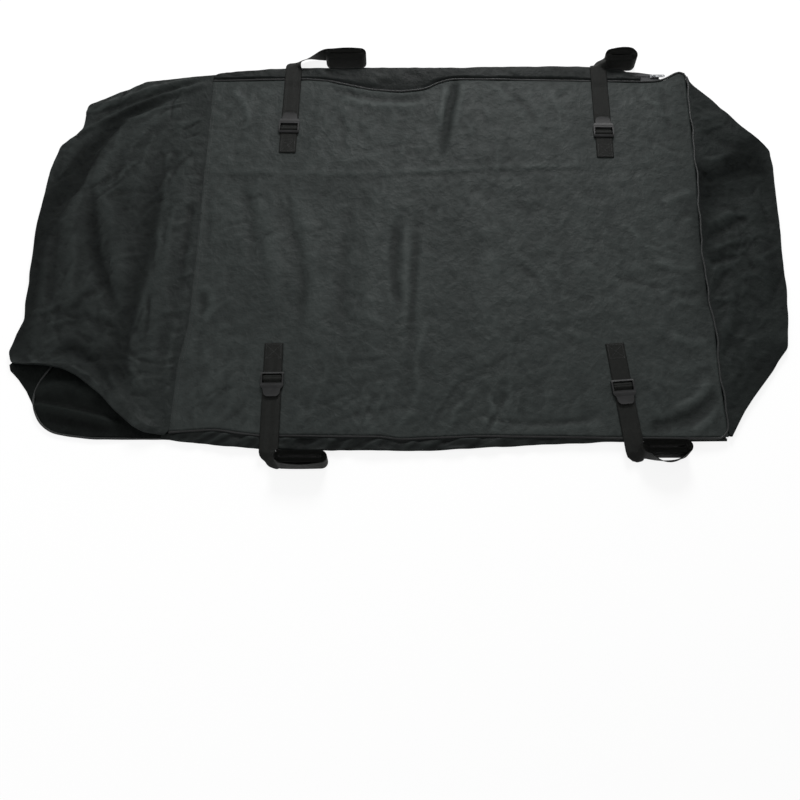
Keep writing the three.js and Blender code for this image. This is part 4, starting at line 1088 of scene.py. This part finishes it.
# Storm flap
# A strip of the same cloth, sewn in with the far piping. It lies over the zip, and its free edge
# is hemmed and drops a little at the lip.
FLAP_FRONT, FLAP_REAR = -368, 622
x = np.linspace(FLAP_FRONT, FLAP_REAR, 250)
s = np.linspace(0, 1, 30)
root = through(FAR_EDGE, x, 9) + 4.8
tip = through(FAR_LIP, x, 10) - 2 + 1.2 * rough(x, x * 0, 40, 91)
ends = ease((FLAP_REAR + 6 - x) / 60) * ease((x - FLAP_FRONT + 14) / 26)
tip = root + 6 + (tip - root - 6) * ends
flap_y = root[:, None] + (tip - root)[:, None] * s
flap_x = np.repeat(x[:, None], len(s), axis=1)
# It rises over the zip by 443 mm from the middle, and drops beyond 464
rising = ease((flap_y - root[:, None]) / np.maximum(443 - root, 3.5)[:, None])
flap_z = 12.6 + 3.9 * rising - 4.5 * np.clip((flap_y - 464) / 14, 0, 2) ** 1.5 * 0.5
ruck = (1.4 + 1.2 * rough(flap_x, flap_y * 1.6, 30, 92)
        + 1.0 * rough(flap_x + flap_y, flap_y, 17, 93))
relief = ruck * ease(s / 0.2)[None, :] * (1 - 0.9 * beside_straps(flap_x, flap_y))
relief = np.maximum(relief, -0.1)
flap_grid = np.stack([flap_x, flap_y, flap_z + relief], axis=-1)
storm_flap = cloth("storm_flap_cloth", flap_grid.transpose(1, 0, 2), CLOTH_THICK, shaded_lip_cloth,
                   relief.T)
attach(storm_flap, "bag")
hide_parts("storm_flap")
flap_hem = flap_grid[3:-3, 25] + [0, 0, 0.1]


# Straps
# Each is 1.4 m of woven nylon webbing. Its inner end is box-stitched to the top; from there it
# runs up over the buckle's middle bar and over the bag's edge, and its free end is rolled on edge.
WEBBING_WIDE, WEBBING_THICK, STRAP_LONG = 38.0, 1.4, 1400.0
# Along the buckle: the end bar's edge, the middle bar's edge and width, the crossbar and the end
END_BAR, MIDDLE_BAR, BAR_WIDE, CROSSBAR, BUCKLE_LONG = 5.0, 11.0, 5.0, 25.0, 55.0
# Heights of the webbing: on the top, its rise over the middle bar, and beyond the buckle
LOW, BAR_LIFT, REST_LOFT = 14.8, 4.3, 0.6
# The lip and the bag's edge, from the middle
LIP_PLACE, EDGE_PLACE = 472.0, 440.0
# The roll: the least bend into it, its innermost bend, and its thickness per whole turn
TURN_RADIUS, CORE, WINDING = 7.0, 1.5, 1.95
POINT_STEP = 2.5


def strap_frame(row):
    """The strap's direction over the bag, the direction across it, its sewn end, and how much of
    its length counts towards the bag's edge."""
    side, place, sewn, _, turn, *_ = row
    turn = math.radians(turn)
    ahead = np.array([math.sin(turn), side * math.cos(turn), 0.0])
    wide = side * np.array([ahead[1], -ahead[0], 0.0])
    return ahead, wide, np.array([place, side * sewn, 0.0]), math.cos(turn)


def strap_line(row):
    """The middle line of a strap and its width direction, point by point: over the bag
    at its height, a quarter twist, a quarter bend, then a flattened spiral on edge. The spiral is
    as thick as the webbing that is left needs; loose bows its outer run away from the others.
    Returns the length at each point, the points, their width directions, and the length at which
    it lies on the buckle's middle bar."""
    side, place, sewn, buckle_at, turn, roll, before, gap, loose = row
    ahead, wide, start, slant = strap_frame(row)
    up = np.array([0.0, 0, 1])
    half = WEBBING_WIDE / 2
    to_piping = (EDGE_PLACE - sewn) / slant
    to_edge = (LIP_PLACE + 2 - sewn) / slant + half * math.tan(math.radians(turn))
    # It crosses the piping 17.4 mm up on the zip's side, where the flap lies under it
    crest = 17.4 if side > 0 else 16.3
    y = np.arange(0, to_edge, 0.8)
    bar = y - buckle_at
    rise = ease((bar - END_BAR - 0.3) / (MIDDLE_BAR - END_BAR - 0.6))
    fall = ease((bar - MIDDLE_BAR - BAR_WIDE - 0.2) / (CROSSBAR - 3.7 - MIDDLE_BAR - BAR_WIDE))
    loft = REST_LOFT * ease((bar - BUCKLE_LONG - 3) / 6)
    climb = (crest - LOW - REST_LOFT) * ease((y - to_piping + 22) / 19)
    over = start + ahead * y[:, None]
    over[:, 2] = LOW + BAR_LIFT * (rise - fall) + loft + climb
    end = over[-1] * [1, side, 1]
    radius = CORE
    while True:
        # From the bag's edge to the roll's outer side, along a curve that leaves straight on and
        # arrives heading to the rear, 40 points of a cubic Bezier curve
        outer = LIP_PLACE + gap + 2 * radius + WEBBING_THICK
        left = end[0] + half + before + radius
        t = np.linspace(0, 1, 40)[:, None]
        arrive = min(TURN_RADIUS + 0.35 * max(before, 0), 26)
        lead = 0.55 if before > 20 else 0.3
        handles = [end[:2], end[:2] + ahead[:2] * [1, side] * (outer - end[1]) * lead,
                   np.array([left - arrive, outer]), np.array([left, outer])]
        shares = [(1 - t) ** 3, 3 * t * (1 - t) ** 2, 3 * t * t * (1 - t), t ** 3]
        link = sum(share * handle for share, handle in zip(shares, handles))
        used = to_edge + BAR_LIFT + np.sum(np.hypot(*np.diff(link, axis=0).T))
        # Half turns from the outermost to the core, each closer than the one before
        bends = np.arange(radius, CORE, -WINDING / 2)
        if np.sum(roll - 2 * radius - WEBBING_THICK + math.pi * bends) >= STRAP_LONG - used:
            break
        radius += 0.1
    heading = unit(np.gradient(link, axis=0))
    flat_wide = np.column_stack([heading[:, 1], -heading[:, 0], 0 * heading[:, 0]])
    lean = math.radians(47) * ease(t / 0.3) + math.radians(43) * ease((t - 0.4) / 0.5)
    widths = flat_wide * np.cos(lean) + up * np.sin(lean)
    link_z = np.maximum(end[2] + (half + 0.1 - end[2]) * t[:, 0], half * np.sin(lean[:, 0]) + 0.1)
    twisted = np.column_stack([link, link_z])[1:]
    widths = widths[1:] * [1, side, 1]
    right = left + roll - 2 * radius - WEBBING_THICK
    spiral = [np.array([[left + 1, outer]])]
    angle = math.pi / 2 - math.pi * np.linspace(0, 1, 22)
    arc = np.stack([np.cos(angle), np.sin(angle)], axis=1)
    for number, bend in enumerate(bends):
        rearward = number % 2 == 0
        middle = (right, outer - radius) if rearward else (left, outer - radius - WINDING / 2)
        spiral.append(np.array(middle) + (1 if rearward else -1) * bend * arc)
    spiral = bent_row(np.concatenate(spiral), 1.0)
    run = np.arange(len(spiral))
    bow = loose * np.sin(np.clip(run / (roll * 0.75), 0, 1) * math.pi)
    waver = 0.9 * (1 + rough(run * 1.0, run * 0.0, 120, int(place) % 50 + 5))
    stand = half + 0.1 + waver * ease(run / 60)
    rolled = np.column_stack([spiral[:, 0], side * (spiral[:, 1] + bow), stand])
    twisted[:, 1] *= side
    points = np.concatenate([over, twisted, rolled])
    fallen = np.radians(2.0 * bow)
    leaning = np.column_stack([0 * fallen, side * np.sin(fallen), np.cos(fallen)])
    wides = np.concatenate([np.tile(wide, (len(over), 1)), widths, leaning])
    length = np.concatenate([[0], np.cumsum(np.linalg.norm(np.diff(points, axis=0), axis=1))])
    at = np.arange(0, min(STRAP_LONG, length[-1]), POINT_STEP)
    line = np.stack([np.interp(at, length, column) for column in points.T], axis=-1)
    turned = np.stack([np.interp(at, length, column) for column in wides.T], axis=-1)
    on_bar = np.interp(MIDDLE_BAR + BAR_WIDE / 2 + buckle_at, y, length[:len(y)])
    return at, line, turned, on_bar


def webbing_section():
    """Flat webbing with round selvedges and eight faint lengthwise ribs on both faces."""
    across = np.linspace(-1, 1, 17)
    half = WEBBING_WIDE / 2
    bulge = (1 - np.abs(across) ** 10) ** 0.5 * (0.94 + 0.06 * np.cos(across * 8 * math.pi))
    top = np.stack([across * half, WEBBING_THICK / 2 * bulge], axis=1)
    under = np.stack([across[::-1][1:-1] * half, -WEBBING_THICK / 2 * bulge[::-1][1:-1]], axis=1)
    return np.concatenate([top, under])


def webbing(name, dark, light):
    """Woven nylon: a herringbone of fine slanting floats in four bands across the width, with
    lengthwise ends between them, and tones that vary from pick to pick."""
    material, tree = new_material(name)
    place = node(tree, "ShaderNodeUVMap").outputs[0]
    spots = node(tree, "ShaderNodeSeparateXYZ", {0: place}).outputs
    float_pitch, end_pitch = 0.0022, 0.0016
    column = maths(tree, "PINGPONG", spots["Y"], WEBBING_WIDE * MM / 4)
    slanted = maths(tree, "ADD", spots["X"], column)
    picks = maths(tree, "SINE", maths(tree, "MULTIPLY", slanted, 2 * math.pi / float_pitch))
    ends = maths(tree, "SINE", maths(tree, "MULTIPLY", spots["Y"], 2 * math.pi / end_pitch))
    height = maths(tree, "MULTIPLY_ADD", ends, 0.45, picks)
    rows = noise(tree, place, 130.0, 4.0)
    tone = mixed(tree, ranged(tree, height, -1.2, 1.3), dark, light)
    surface(tree, {
        "Base Color": mixed(tree, ranged(tree, rows, 0.35, 0.75, 0, 0.5), tone, shade(light, 1.5)),
        "Normal": bump(tree, height, 0.00016, 0.7),
        "Roughness": ranged(tree, height, -1, 1, 0.75, 0.6), "Specular IOR Level": 0.12})
    return material


strap_webbing = webbing("nylon_webbing", (0.0032, 0.0036, 0.0032, 1), (0.0095, 0.0101, 0.0091, 1))


def ribbon(name, at, line, turned):
    """A length of webbing along its middle line, closed at both ends. Its UVs are the places along
    and across it, in metres."""
    section = webbing_section()
    rings = carried(line, turned, section)
    across = section[None, :, 0] + WEBBING_WIDE / 2
    uv = np.stack(np.broadcast_arrays(at[:, None] * MM, across * MM), axis=-1)
    return put_mesh(name, rings, rod_faces(len(line), len(section)), strap_webbing, uv)


for name, row in STRAPS.items():
    at, line, turned, on_bar = strap_line(row)
    ahead, wide, start, _ = strap_frame(row)
    split = int(round(on_bar / POINT_STEP))
    sewn, free = slice(0, split + 1), slice(split, None)
    sewn_part = ribbon(f"strap_{name}_sewn_part", at[sewn], line[sewn], turned[sewn])
    free_part = ribbon(f"strap_{name}_free_part", at[free], line[free], turned[free])
    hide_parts(f"strap_{name}")
    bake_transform(sewn_part)
    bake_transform(free_part)


# Stitching
# Bonded polyester thread: two rows along the flat front seam, a boxed cross at each strap's sewn
# end, and one row beside the flap's root.
def spindles(name, places, ahead, size, material):
    """Copies of one six-sided spindle, pointed at both ends: its length along each ahead, and its
    width and height square to that."""
    ring = np.arange(6) * math.pi / 3
    round_x, round_y = np.cos(ring) / 2, np.sin(ring) / 2
    shape = np.concatenate([
        [[-0.5, 0, 0]], np.stack([np.full(6, -0.32), round_x, round_y], 1),
        np.stack([np.full(6, 0.32), round_x, round_y], 1), [[0.5, 0, 0]]]) * size
    first = np.arange(6) + 1
    after = np.roll(first, -1)
    faces = np.concatenate([
        np.stack([np.zeros(6, int), after, first], 1), np.stack([first, after, after + 6], 1),
        np.stack([first, after + 6, first + 6], 1),
        np.stack([first + 6, after + 6, np.full(6, 13)], 1)])
    wide = unit(np.cross([0.0, 0, 1], ahead))
    rise = np.cross(ahead, wide)
    points = (places[:, None] + ahead[:, None] * shape[None, :, :1]
              + wide[:, None] * shape[None, :, 1:2] + rise[:, None] * shape[None, :, 2:])
    numbers = faces[None] + len(shape) * np.arange(len(places))[:, None, None]
    return put_mesh(name, points, [numbers.reshape(-1, 3)], material)


THREAD_THICK = 0.7


def stitches(name, lines, pitch, long):
    """Thread stitches laid every pitch along each line of points."""
    spots = [bent_row(line, pitch) for line in lines]
    ahead = np.concatenate([unit(np.gradient(spot, axis=0)) for spot in spots])
    return spindles(name, np.concatenate(spots), ahead, [long, THREAD_THICK, THREAD_THICK], thread)


thread, tree = new_material("bonded_thread")
twist = noise(tree, object_place(tree), 1500.0, 1.0)
surface(tree, {
    "Base Color": mixed(tree, ranged(tree, twist, 0.3, 0.7), (0.006, 0.007, 0.007, 1),
                        (0.018, 0.020, 0.0195, 1)),
    "Roughness": 0.5})

seam_x, seam_y = top_place(np.zeros(260), np.linspace(0.012, 0.988, 260))
seam_z = np.full(260, TOP_FACE - 0.25)
seam_lines = [np.column_stack([seam_x + back, seam_y, seam_z]) for back in (2.5, 9.0)]
seam_stitching = stitches("front_seam_stitching", seam_lines, 4.2, 3.2)
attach(seam_stitching, "bag")

flap_stitching = stitches("storm_flap_stitching", [flap_hem], 4.2, 3.2)
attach(flap_stitching, "bag")

for name, row in STRAPS.items():
    ahead, wide, start, _ = strap_frame(row)
    height = LOW + WEBBING_THICK / 2 + 0.1
    near_end, far_end, half = 4.0, 34.0, WEBBING_WIDE / 2 - 4
    a, b, c, d = (near_end, -half), (far_end, -half), (far_end, half), (near_end, half)
    paths = [[a, b, c, d, a], [a, c], [d, b]]
    lines = [[start + ahead * y + wide * x + [0, 0, height] for y, x in path] for path in paths]
    box_stitch = stitches(f"strap_{name}_box_stitch", lines, 3.0, 2.4)
    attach(box_stitch, "bag")


# Buckles
# Ladder locks moulded in black acetal: a flat frame, three bars and a thumb tab. The straps' free
# ends come out under the tab. Handling has rubbed them paler and duller in patches.
plastic, tree = new_material("moulded_acetal")
grain = noise(tree, object_place(tree), 900.0)
rubbed = noise(tree, object_place(tree), 55.0, 4.0)
surface(tree, {
    "Base Color": mixed(tree, ranged(tree, rubbed, 0.45, 0.75), (0.0036, 0.0038, 0.0040, 1),
                        (0.0105, 0.0110, 0.0114, 1)),
    "Roughness": ranged(tree, rubbed, 0.3, 0.7, 0.36, 0.5),
    "Normal": bump(tree, grain, 0.00008, 0.4), "Specular IOR Level": 0.22})


def refinish(name, material):
    """A CAD node with a new material in each of its slots."""
    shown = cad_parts[name]
    if not shown.material_slots:
        shown.data.materials.append(material)
    for holder in shown.material_slots:
        holder.material = material


for name in STRAPS:
    refinish(f"buckle_{name}", plastic)


# Zip
# Nylon coils on woven tapes lie closed under the flap, with a plated stop at each end. The slider
# stands at the rear end, past the flap, with its pull tab lying along the tape.
plated, tree = new_material("plated_metal")
rubbed = noise(tree, object_place(tree), 300.0, 4.0)
surface(tree, {
    "Base Color": mixed(tree, ranged(tree, rubbed, 0.4, 0.7), (0.13, 0.134, 0.14, 1),
                        (0.24, 0.245, 0.25, 1)),
    "Roughness": ranged(tree, rubbed, 0.3, 0.7, 0.24, 0.42), "Metallic": 1.0})
for name in ("zip_stop_front", "zip_stop_rear", "zip_slider", "zip_pull"):
    refinish(name, plated)

tape_weave, tree = new_material("woven_tape")
weave = placed(tree, plain_weave, object_place(tree), Pitch=0.0012)
surface(tree, {
    "Base Color": mixed(tree, ranged(tree, weave, -1, 1), (0.010, 0.011, 0.012, 1),
                        (0.026, 0.027, 0.029, 1)),
    "Roughness": 0.7, "Normal": bump(tree, weave, 0.00012)})

ZIP_FRONT, ZIP_REAR, CHAIN_Y, CHAIN_Z = -360, 665, 454.55, 9.25
x = np.linspace(ZIP_FRONT, ZIP_REAR, 200)
s = np.linspace(0, 1, 9)
# The lower tape is narrower at both ends, where the lip comes in
taper = np.maximum(ease((x - ZIP_REAR + 56) / 56), ease((ZIP_FRONT + 20 - x) / 20))
for name, inner, outer in (("zip_tape_upper", 453.4, 433 + 0 * x),
                           ("zip_tape_lower", 455.7, 468 - 7.5 * taper)):
    tape_y = inner + (outer[:, None] - inner) * s
    tape_z = CHAIN_Z + 0.4 + 1.7 * ease((448 - tape_y) / 12)
    tape_x = np.repeat(x[:, None], len(s), axis=1)
    tape_grid = np.stack([tape_x, tape_y, tape_z], axis=-1).transpose(1, 0, 2)
    tape = cloth(f"{name}_weave", tape_grid, 0.8, tape_weave)
    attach(tape, "bag")
    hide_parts(name)

coil, tree = new_material("nylon_coil")
coil_shade = noise(tree, object_place(tree), 400.0)
surface(tree, {
    "Base Color": mixed(tree, coil_shade, (0.010, 0.011, 0.012, 1), (0.022, 0.024, 0.026, 1)),
    "Roughness": 0.38})
# Teeth every 2 mm on each coil; those of the lower coil stand in the gaps of the upper
tooth_x = np.arange(ZIP_FRONT + 6, ZIP_REAR - 5, 2.0)
for name, shift, middle in (("upper", 0, CHAIN_Y - 1.35), ("lower", 1, CHAIN_Y + 1.35)):
    places = np.column_stack([tooth_x + shift, np.full(len(tooth_x), middle),
                              np.full(len(tooth_x), CHAIN_Z)])
    crosswise = np.tile([0.0, 1, 0], (len(places), 1))
    teeth = spindles(f"zip_coil_{name}", places, crosswise, [3.6, 0.95, 2.0], coil)
    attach(teeth, "bag")
